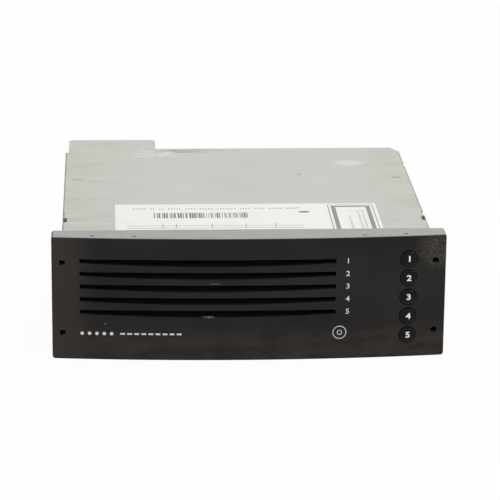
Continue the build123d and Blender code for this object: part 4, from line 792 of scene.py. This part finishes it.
class Print:
    """Flat shapes of one ink, drawn in millimetres and laid on a node as a thin closed layer."""

    LIFT = 0.03 * MM            # outside of the ink, off the surface
    SINK = 0.02 * MM            # inside of the ink, under the surface
    REACH = 20 * MM             # how far off the guide the surface is looked for
    WELD = 1e-5                 # corners this near to each other become one
    CURVE_STEPS = 6             # straight pieces in each curve of a digit
    SPLITS = 6                  # how often a long edge may be halved
    SLIT = 0.01                 # what keeps the bars of a border apart, in millimetres

    def __init__(self, name: str, ink: Finish) -> None:
        """Starts an empty print.

        Args:
            name: The name of the printed piece.
            ink: What it is printed with.
        """
        self.name = name
        self.ink = ink
        self.flat = bmesh.new()

    def outline(self, points: Sequence[tuple[float, float]]) -> None:
        """Adds one closed shape.

        Args:
            points: Its corners, anticlockwise.
        """
        self.flat.faces.new([self.flat.verts.new((u, v, 0.0)) for u, v in points])

    def bar(self, left: float, right: float, low: float, high: float) -> None:
        """Adds an upright rectangle between two corners."""
        self.outline([(left, low), (right, low), (right, high), (left, high)])

    def border(self, left: float, right: float, low: float, high: float, width: float) -> None:
        """Adds the border of an upright rectangle, as four bars that just don't touch.

        Args:
            left: Its outer left edge.
            right: Its outer right edge.
            low: Its outer lower edge.
            high: Its outer upper edge.
            width: How wide the border is.
        """
        inner_left, inner_right = left + width + self.SLIT, right - width - self.SLIT
        self.bar(left, left + width, low, high)
        self.bar(right - width, right, low, high)
        self.bar(inner_left, inner_right, high - width, high)
        self.bar(inner_left, inner_right, low, low + width)

    def dot(self, u: float, v: float, radius: float, squash: float = 1.0, sides: int = 28) -> None:
        """Adds a filled circle or oval.

        Args:
            u: Its middle, to the right.
            v: Its middle, up.
            radius: Its radius.
            squash: Its height over its width.
            sides: How many sides it is drawn with.
        """
        turns = [math.tau * side / sides for side in range(sides)]
        self.outline([(u + radius * math.cos(turn), v + squash * radius * math.sin(turn))
                      for turn in turns])

    def ring(self, u: float, v: float, radius: float, width: float, sides: int = 72) -> None:
        """Adds a ring of short straight pieces.

        Args:
            u: Its middle, to the right.
            v: Its middle, up.
            radius: Its outer radius.
            width: How wide the line is.
            sides: How many pieces it has.
        """
        loops = [[self.flat.verts.new((u + size * math.cos(math.tau * side / sides),
                                       v + size * math.sin(math.tau * side / sides), 0.0))
                  for side in range(sides)] for size in (radius - width, radius)]
        inner, outer = loops
        for side in range(sides):
            after = (side + 1) % sides
            self.flat.faces.new((inner[side], outer[side], outer[after], inner[after]))

    def numeral(self, digit: int, u: float, v: float, height: float, wide: float,
                bold: float) -> None:
        """Adds a digit of the plain built-in face.

        Args:
            digit: The number to write.
            u: The middle of the digit, to the right.
            v: The middle of the digit, up.
            height: How tall it is.
            wide: How far it is drawn out sideways.
            bold: How far its outline is pushed out, as a share of its height.
        """
        curve = bpy.data.curves.new("numeral", "FONT")
        curve.body = str(digit)
        curve.offset = bold
        curve.resolution_u = self.CURVE_STEPS
        written = add_object("numeral", curve)
        bpy.context.view_layer.update()
        mesh = bpy.data.meshes.new_from_object(written)
        corners = [vertex.co for vertex in mesh.vertices]
        low = Vector(min(corner[axis] for corner in corners) for axis in range(3))
        high = Vector(max(corner[axis] for corner in corners) for axis in range(3))
        size = height / (high.y - low.y)
        middle = (low + high) / 2
        mesh.transform(Matrix.Translation((u, v, 0.0))
                       @ Matrix.Diagonal((size * wide, size, size, 1.0))
                       @ Matrix.Translation(-middle))
        self.flat.from_mesh(mesh)
        bpy.data.objects.remove(written)
        bpy.data.curves.remove(curve)
        bpy.data.meshes.remove(mesh)

    def _refine(self, longest: float) -> None:
        """Splits long edges so that the print can follow a curved surface.

        Args:
            longest: The longest edge that stays, in millimetres.
        """
        bmesh.ops.triangulate(self.flat, faces=self.flat.faces)
        for _ in range(self.SPLITS):
            long_edges = [edge for edge in self.flat.edges if edge.calc_length() > longest]
            if not long_edges:
                return
            bmesh.ops.subdivide_edges(self.flat, edges=long_edges, cuts=1)
            bmesh.ops.triangulate(self.flat, faces=self.flat.faces)

    def lay_on(self, node: bpy.types.Object, plane: Plane, body: str, datum: Datum,
               longest: Optional[float] = None) -> bpy.types.Object:
        """Lays the print on a node and makes it ride with a body.

        Args:
            node: The piece that it is printed on.
            plane: The guide, in front of the surface.
            body: The body that it moves with.
            datum: Where its finish counts from.
            longest: The longest edge on a curved surface, in millimetres.

        Returns:
            The printed piece.
        """
        bmesh.ops.remove_doubles(self.flat, verts=self.flat.verts, dist=self.WELD)
        if longest:
            self._refine(longest)
        bmesh.ops.recalc_face_normals(self.flat, faces=self.flat.faces)
        grown = bmesh.ops.extrude_face_region(self.flat, geom=self.flat.faces[:])["geom"]
        outside = {part for part in grown if isinstance(part, bmesh.types.BMVert)}
        surface = BVHTree.FromPolygons([vertex.co for vertex in node.data.vertices],
                                       [face.vertices[:] for face in node.data.polygons])
        for vertex in self.flat.verts:
            start = plane.at(vertex.co.x, vertex.co.y, self.REACH)
            found = surface.ray_cast(start, -plane.out)[0]
            if found is None:
                raise ValueError(f"{self.name} hangs over the edge of {node.name}")
            vertex.co = found + plane.out * (self.LIFT if vertex in outside else -self.SINK)
        bmesh.ops.recalc_face_normals(self.flat, faces=self.flat.faces)
        mesh = bpy.data.meshes.new(self.name)
        self.flat.to_mesh(mesh)
        self.flat.free()
        mesh.materials.append(self.ink.material(datum))
        piece = add_object(self.name, mesh)
        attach(piece, body)
        LOG.info("%s: %d faces on %s, riding on %s", self.name, len(mesh.polygons), node.name, body)
        return piece


# ---- Assemblies -----------------------------------------------------------------------------


@dataclass(frozen=True)
class Workshop:
    """What every assembly is dressed from."""

    nodes: Mapping[str, bpy.types.Object]
    slots: Mapping[str, str]
    datum: Datum
    materials: dict[str, bpy.types.Material]

    def dress(self, name: str) -> None:
        """Gives a node the finish of its slot.

        Args:
            name: The node.
        """
        slot = self.slots[name]
        if slot not in self.materials:
            self.materials[slot] = FINISHES[slot].material(self.datum)
        for place in self.nodes[name].material_slots:
            place.material = self.materials[slot]
        LOG.info("%s: %s", name, slot)


class Assembly(ABC):
    """A group of pieces that come off the bench together."""

    pieces: tuple[str, ...] = ()

    def dress(self, shop: Workshop) -> None:
        """Finishes each of the group's nodes."""
        for name in self.pieces:
            shop.dress(name)

    def build(self, shop: Workshop) -> None:
        """Dresses the group; a group with printing adds it here."""
        self.dress(shop)


@dataclass(frozen=True)
class Fascia(Assembly):
    """The bowed face, its carrier and what is printed beside the slots."""

    pieces = ("front_panel", "front_frame", "dust_lips")
    number_x: float = 46.8
    number_height: float = 2.6
    number_wide: float = 1.1
    number_bold: float = 0.014
    top_slot: float = 18.55
    slot_pitch: float = 6.32
    rings_at: Span = (43.2, -17.3)
    ring_radii: Span = (3.3, 1.25)
    ring_line: float = 0.34
    marks_z: float = -17.5
    dots_x: float = -79.7
    dot_pitch: float = 3.5
    dot_radius: float = 0.85
    dashes: int = 9
    dashes_x: Span = (-61.6, -32.4)
    dash_gap: float = 1.1
    dash_half: float = 0.42     # half the height of a dash
    guide_y: float = -20.0

    def build(self, shop: Workshop) -> None:
        """Dresses the fascia and prints on it.

        Args:
            shop: What it is dressed from.
        """
        self.dress(shop)
        plane = Plane(shop.datum.at(0, self.guide_y, 0), RIGHT, UP)
        for draw in (self._numbers, self._rings, self._marks):
            draw().lay_on(shop.nodes["front_panel"], plane, "unit", shop.datum)

    def _numbers(self) -> Print:
        """Draws the numbers 1 to 5 beside the slots.

        Returns:
            The print.
        """
        numbers = Print("slot_numbers", FACE_INK)
        for place in range(DISCS):
            numbers.numeral(place + 1, self.number_x, self.top_slot - place * self.slot_pitch,
                            self.number_height, self.number_wide, self.number_bold)
        return numbers

    def _rings(self) -> Print:
        """Draws a plain disc sign: a rim and a hole.

        Returns:
            The print.
        """
        rings = Print("disc_rings", FACE_INK)
        for radius in self.ring_radii:
            rings.ring(*self.rings_at, radius, self.ring_line)
        return rings

    def _marks(self) -> Print:
        """Draws five dots, one for each disc, and a row of dashes.

        Returns:
            The print.
        """
        marks = Print("index_marks", FACE_INK)
        for place in range(DISCS):
            marks.dot(self.dots_x + place * self.dot_pitch, self.marks_z, self.dot_radius)
        left, right = self.dashes_x
        length = (right - left - (self.dashes - 1) * self.dash_gap) / self.dashes
        for place in range(self.dashes):
            start = left + place * (length + self.dash_gap)
            marks.bar(start, start + length, self.marks_z - self.dash_half,
                      self.marks_z + self.dash_half)
        return marks


@dataclass(frozen=True)
class Buttons(Assembly):
    """The five caps and their numbers."""

    pieces = tuple(f"button_{number}" for number in range(1, DISCS + 1))
    number_height: float = 2.95
    number_wide: float = 1.22
    number_bold: float = 0.024
    number_at: Span = (0.15, 0.3)   # from the middle of the cap
    refine: float = 0.3             # longest edge of a number on the dome
    guide_y: float = -20.0

    def build(self, shop: Workshop) -> None:
        """Dresses the caps and prints their numbers.

        Args:
            shop: What they are dressed from.
        """
        self.dress(shop)
        for number, name in enumerate(self.pieces, start=1):
            low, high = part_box(name)
            middle = (low + high) / 2
            origin = Vector((middle.x, shop.datum.y + self.guide_y * MM, middle.z))
            numeral = Print(f"{name}_number", CAP_INK)
            numeral.numeral(number, *self.number_at, self.number_height, self.number_wide,
                            self.number_bold)
            numeral.lay_on(shop.nodes[name], Plane(origin, RIGHT, UP), name, shop.datum,
                           self.refine)


@dataclass(frozen=True)
class Label(Assembly):
    """The paper label on the lid, with its strokes, bars, rules and box."""

    pieces = ("rating_label",)
    guide_z: float = 40.0
    header_y: float = 52.0
    header_x: Span = (-54.6, 22.0)
    header_seed: int = 5
    group_sizes: tuple[int, ...] = (2, 4, 5, 7)     # how many strokes stand together
    group_gap: float = 1.6
    stroke_pitch: float = 1.4
    stroke_wide: float = 0.32
    stroke_half: float = 0.95                       # half its height
    arm_x: Span = (0.33, 1.0)                       # the short arm beside a stroke
    arm_half: float = 0.17
    arm_rises: tuple[float, ...] = (-0.75, 0.0, 0.75)
    bars_x: Span = (-44.5, 2.9)
    bars_y: Span = (36.2, 44.8)
    bars_seed: int = 11
    bar_widths: tuple[float, ...] = (0.3, 0.5, 0.9)
    bar_gaps: tuple[float, ...] = (0.3, 0.4, 0.9)
    last_bar: float = 1.0                           # room that the last bar needs
    table_x: Span = (-58.0, 28.0)
    table_y: Span = (19.4, 23.2)
    table_ticks: tuple[float, ...] = (-40.4, -33.9, -16.4, 0.1, 14.5)
    tick_ends: Span = (0.2, 3.2)                    # over the lower and the upper rule
    rule_half: float = 0.14
    spot: Span = (29.9, 45.6)
    spot_radius: float = 2.7
    spot_squash: float = 0.5
    box_x: Span = (42.2, 65.0)
    box_y: Span = (12.0, 57.4)
    borders: tuple[Span, ...] = ((0.0, 0.45), (1.7, 2.1))   # inset and width of each
    columns: tuple[Span, ...] = ((51.4, 40.0), (56.2, 50.0), (58.4, 50.0))  # left edge and top
    column_foot: float = 16.0
    row_pitch: float = 1.5
    row_size: Span = (1.1, 0.35)                    # width and height of a dash

    def build(self, shop: Workshop) -> None:
        """Dresses the label and prints on it.

        Args:
            shop: What it is dressed from.
        """
        self.dress(shop)
        plane = Plane(shop.datum.at(0, 0, self.guide_z), RIGHT, BACK)
        for draw in (self._rules, self._bars, self._box):
            draw().lay_on(shop.nodes["rating_label"], plane, "unit", shop.datum)

    def _rules(self) -> Print:
        """Draws the header's row of small strokes, the table's rules and the spot.

        Returns:
            The print.
        """
        rules = Print("label_rules", BLACK_INK)
        chance = random.Random(self.header_seed)
        left, right = self.header_x
        while left < right:
            for _ in range(chance.choice(self.group_sizes)):
                rules.bar(left, left + self.stroke_wide, self.header_y - self.stroke_half,
                          self.header_y + self.stroke_half)
                arm = self.header_y + chance.choice(self.arm_rises)
                rules.bar(left + self.arm_x[0], left + self.arm_x[1], arm - self.arm_half,
                          arm + self.arm_half)
                left += self.stroke_pitch
            left += self.group_gap
        low, high = self.table_y
        for height in (high, low):
            rules.bar(*self.table_x, height - self.rule_half, height + self.rule_half)
        for x in self.table_ticks:
            rules.bar(x - self.rule_half, x + self.rule_half, low + self.tick_ends[0],
                      high + self.tick_ends[1])
        rules.dot(*self.spot, self.spot_radius, self.spot_squash)
        return rules

    def _bars(self) -> Print:
        """Draws a plain row of bars of mixed widths.

        Returns:
            The print.
        """
        bars = Print("label_bars", BLACK_INK)
        chance = random.Random(self.bars_seed)
        left, right = self.bars_x
        while left < right - self.last_bar:
            width = chance.choice(self.bar_widths)
            bars.bar(left, left + width, *self.bars_y)
            left += width + chance.choice(self.bar_gaps)
        return bars

    def _box(self) -> Print:
        """Draws a box, a grey band inside a thin line, with columns of small dashes in it.

        Returns:
            The print.
        """
        box = Print("label_box", GREY_INK)
        wide, tall = self.row_size
        for column, top in self.columns:
            for row in range(int((top - self.column_foot) / self.row_pitch)):
                foot = self.column_foot + self.row_pitch * row
                box.bar(column, column + wide, foot, foot + tall)
        for inset, width in self.borders:
            box.border(self.box_x[0] + inset, self.box_x[1] - inset, self.box_y[0] + inset,
                       self.box_y[1] - inset, width)
        return box


@dataclass(frozen=True)
class Body(Assembly):
    """The galvanised tub, its lid, screws and lock springs."""

    pieces = ("chassis", "top_cover", "cover_screws", "pan_screws", "lock_spring_left",
              "lock_spring_right", "spring_tabs")


@dataclass(frozen=True)
class Electronics(Assembly):
    """The boards and what is mounted on them."""

    pieces = ("key_board", "key_switches", "board_leds", "main_board", "board_standoffs",
              "board_chips", "board_capacitors", "rear_connector", "connector_pins",
              "ribbon_cable")


@dataclass(frozen=True)
class DiscStore(Assembly):
    """The trays in their racks, and the carriage that feeds them."""

    pieces = ("rack_left", "rack_right",
              *(f"disc_tray_{number}" for number in range(1, DISCS + 1)), "guide_posts",
              "carriage", "roller_shaft", "roller_sleeves", "roller_gear", "idler_gear",
              "loading_pinion", "loading_motor", "lift_screw", "screw_pulley", "motor_pulley",
              "lift_belt", "lift_bracket", "lift_motor")


@dataclass(frozen=True)
class PlayArm(Assembly):
    """The arm that swings under a disc, with its turntable, pickup and clamp."""

    pieces = ("swing_arm", "pivot_post", "arm_pinion", "arm_bracket", "arm_motor",
              "spindle_motor", "turntable", "pickup", "sled_rods", "sled_screw", "sled_motor",
              "clamp_arm", "clamp_disc")


# ---- Camera and light -----------------------------------------------------------------------


@dataclass(frozen=True)
class PhotoCamera:
    """The camera of the photograph, worked out from the object's corners in it."""

    side: float = 500.0         # the photograph's width in pixels
    focal: float = 2648.6       # focal length in its pixels
    station: Point = (-67.8, -1207.5, 401.0)
    yaw: float = -0.0567
    pitch: float = 0.30527
    roll: float = 0.00996
    sensor: float = 36.0
    clip: Span = (0.05, 50.0)   # nearest and farthest that it sees, in metres

    def build(self, datum: Datum) -> bpy.types.Object:
        """Sets the camera up.

        Args:
            datum: Where the station counts from.

        Returns:
            The camera.
        """
        lens = bpy.data.cameras.new("photo_camera")
        lens.sensor_width = self.sensor
        lens.lens = self.sensor * self.focal / self.side
        lens.clip_start, lens.clip_end = self.clip
        camera = add_object("photo_camera", lens)
        turn = (Matrix.Rotation(self.yaw, 3, "Z") @ Matrix.Rotation(-self.pitch, 3, "X")
                @ Matrix.Rotation(-self.roll, 3, "Y") @ Matrix.Rotation(math.pi / 2, 3, "X"))
        camera.matrix_world = Matrix.Translation(datum.at(*self.station)) @ turn.to_4x4()
        bpy.context.scene.camera = camera
        return camera


@dataclass(frozen=True)
class Softbox:
    """A soft lamp that looks at the object and isn't seen itself."""

    name: str
    azimuth: float              # 0 in front of the object, 90 to its right, in degrees
    elevation: float
    distance: float             # metres from the object
    size: Span
    watts: float

    def build(self) -> None:
        """Hangs the lamp."""
        data = bpy.data.lights.new(self.name, "AREA")
        data.shape = "RECTANGLE"
        data.size, data.size_y = self.size
        data.energy = self.watts
        lamp = add_object(self.name, data)
        turn, rise = math.radians(self.azimuth), math.radians(self.elevation)
        away = Vector((math.sin(turn) * math.cos(rise), -math.cos(turn) * math.cos(rise),
                       math.sin(rise)))
        lamp.location = away * self.distance
        lamp.rotation_mode = "QUATERNION"
        lamp.rotation_quaternion = away.to_track_quat("Z", "Y")
        lamp.visible_camera = False


@dataclass(frozen=True)
class Studio:
    """The pale floor, the white surroundings and the lamps."""

    floor_half: float = 6.0
    floor_colour: Colour = srgb(240, 240, 240)
    white_share: float = 0.95   # how much of the floor is plain white to the camera
    fill: float = 0.8           # strength of the surroundings on matt surfaces
    lamps: tuple[Softbox, ...] = (
        Softbox("lamp_back", 176.0, 30.0, 1.8, (2.2, 0.9), 0.8),
        Softbox("lamp_right", 72.0, 50.0, 1.5, (0.6, 0.5), 3.5),
        Softbox("lamp_spark", 48.0, 34.0, 1.5, (0.22, 0.22), 1.9),
        Softbox("lamp_top", -20.0, 78.0, 1.8, (1.4, 1.4), 1.0),
    )

    def build(self) -> None:
        """Sets up the floor, the surroundings and the lamps."""
        self._surroundings()
        self._floor()
        for lamp in self.lamps:
            lamp.build()
        bpy.context.scene.view_settings.view_transform = "Standard"

    @staticmethod
    def _seen(bench: Bench) -> Wire:
        """Tells the rays that look at the surroundings from those that light a matt surface.

        Args:
            bench: The tree that asks.

        Returns:
            1 for camera, glossy and transmission rays.
        """
        path = bench.node("LightPath").outputs
        rays = [Wire(bench, path[name]) for name in ("Is Camera Ray", "Is Glossy Ray",
                                                     "Is Transmission Ray")]
        return bench.maths("MINIMUM", rays[0] + rays[1] + rays[2], 1.0)

    def _surroundings(self) -> None:
        """Makes the world white to the eye and softer on matt surfaces."""
        world = bpy.data.worlds.new("surroundings")
        world.use_nodes = True
        bpy.context.scene.world = world
        bench = Bench(world.node_tree)
        dim = bench.node("Background", sockets={"Color": WHITE, "Strength": self.fill})
        white = bench.node("Background", sockets={"Color": WHITE, "Strength": 1.0})
        shader = bench.node("MixShader", sockets={0: self._seen(bench), 1: dim.outputs[0],
                                                  2: white.outputs[0]})
        bench.node("OutputWorld", sockets={0: shader.outputs[0]})

    def _floor(self) -> None:
        """Lays the floor, which keeps the shade that the object casts and is clear from below."""
        half = self.floor_half
        mesh = bpy.data.meshes.new("floor")
        mesh.from_pydata([(-half, -half, 0), (half, -half, 0), (half, half, 0), (-half, half, 0)],
                         [], [(0, 1, 2, 3)])
        material = bpy.data.materials.new("floor")
        material.use_nodes = True
        bench = Bench(material.node_tree)
        matt = bench.node("BsdfDiffuse", sockets={"Color": self.floor_colour})
        white = bench.node("Emission", sockets={"Color": WHITE, "Strength": 1.0})
        share = self._seen(bench) * self.white_share
        top = bench.node("MixShader", sockets={0: share, 1: matt.outputs[0], 2: white.outputs[0]})
        clear = bench.node("BsdfTransparent")
        back = Wire(bench, bench.node("NewGeometry").outputs["Backfacing"])
        shader = bench.node("MixShader", sockets={0: back, 1: top.outputs[0], 2: clear.outputs[0]})
        bench.node("OutputMaterial", sockets={0: shader.outputs[0]})
        mesh.materials.append(material)
        floor = add_object("floor", mesh)


def main() -> None:
    """Loads the frame, dresses every assembly and sets up the photograph's view."""
    logging.basicConfig(level=logging.INFO, format="%(name)s: %(message)s")
    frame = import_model()
    datum = Datum.of_frame()
    slots = {row["node"]: row["material_slot"] for row in frame["record"]["subparts"]}
    shop = Workshop(frame["nodes"], slots, datum, {})
    for assembly in (Fascia(), Buttons(), Label(), Body(), Electronics(), DiscStore(), PlayArm()):
        assembly.build(shop)
        LOG.info("%s is ready", type(assembly).__name__)
    PhotoCamera().build(datum)
    Studio().build()


if __name__ == "__main__":
    main()
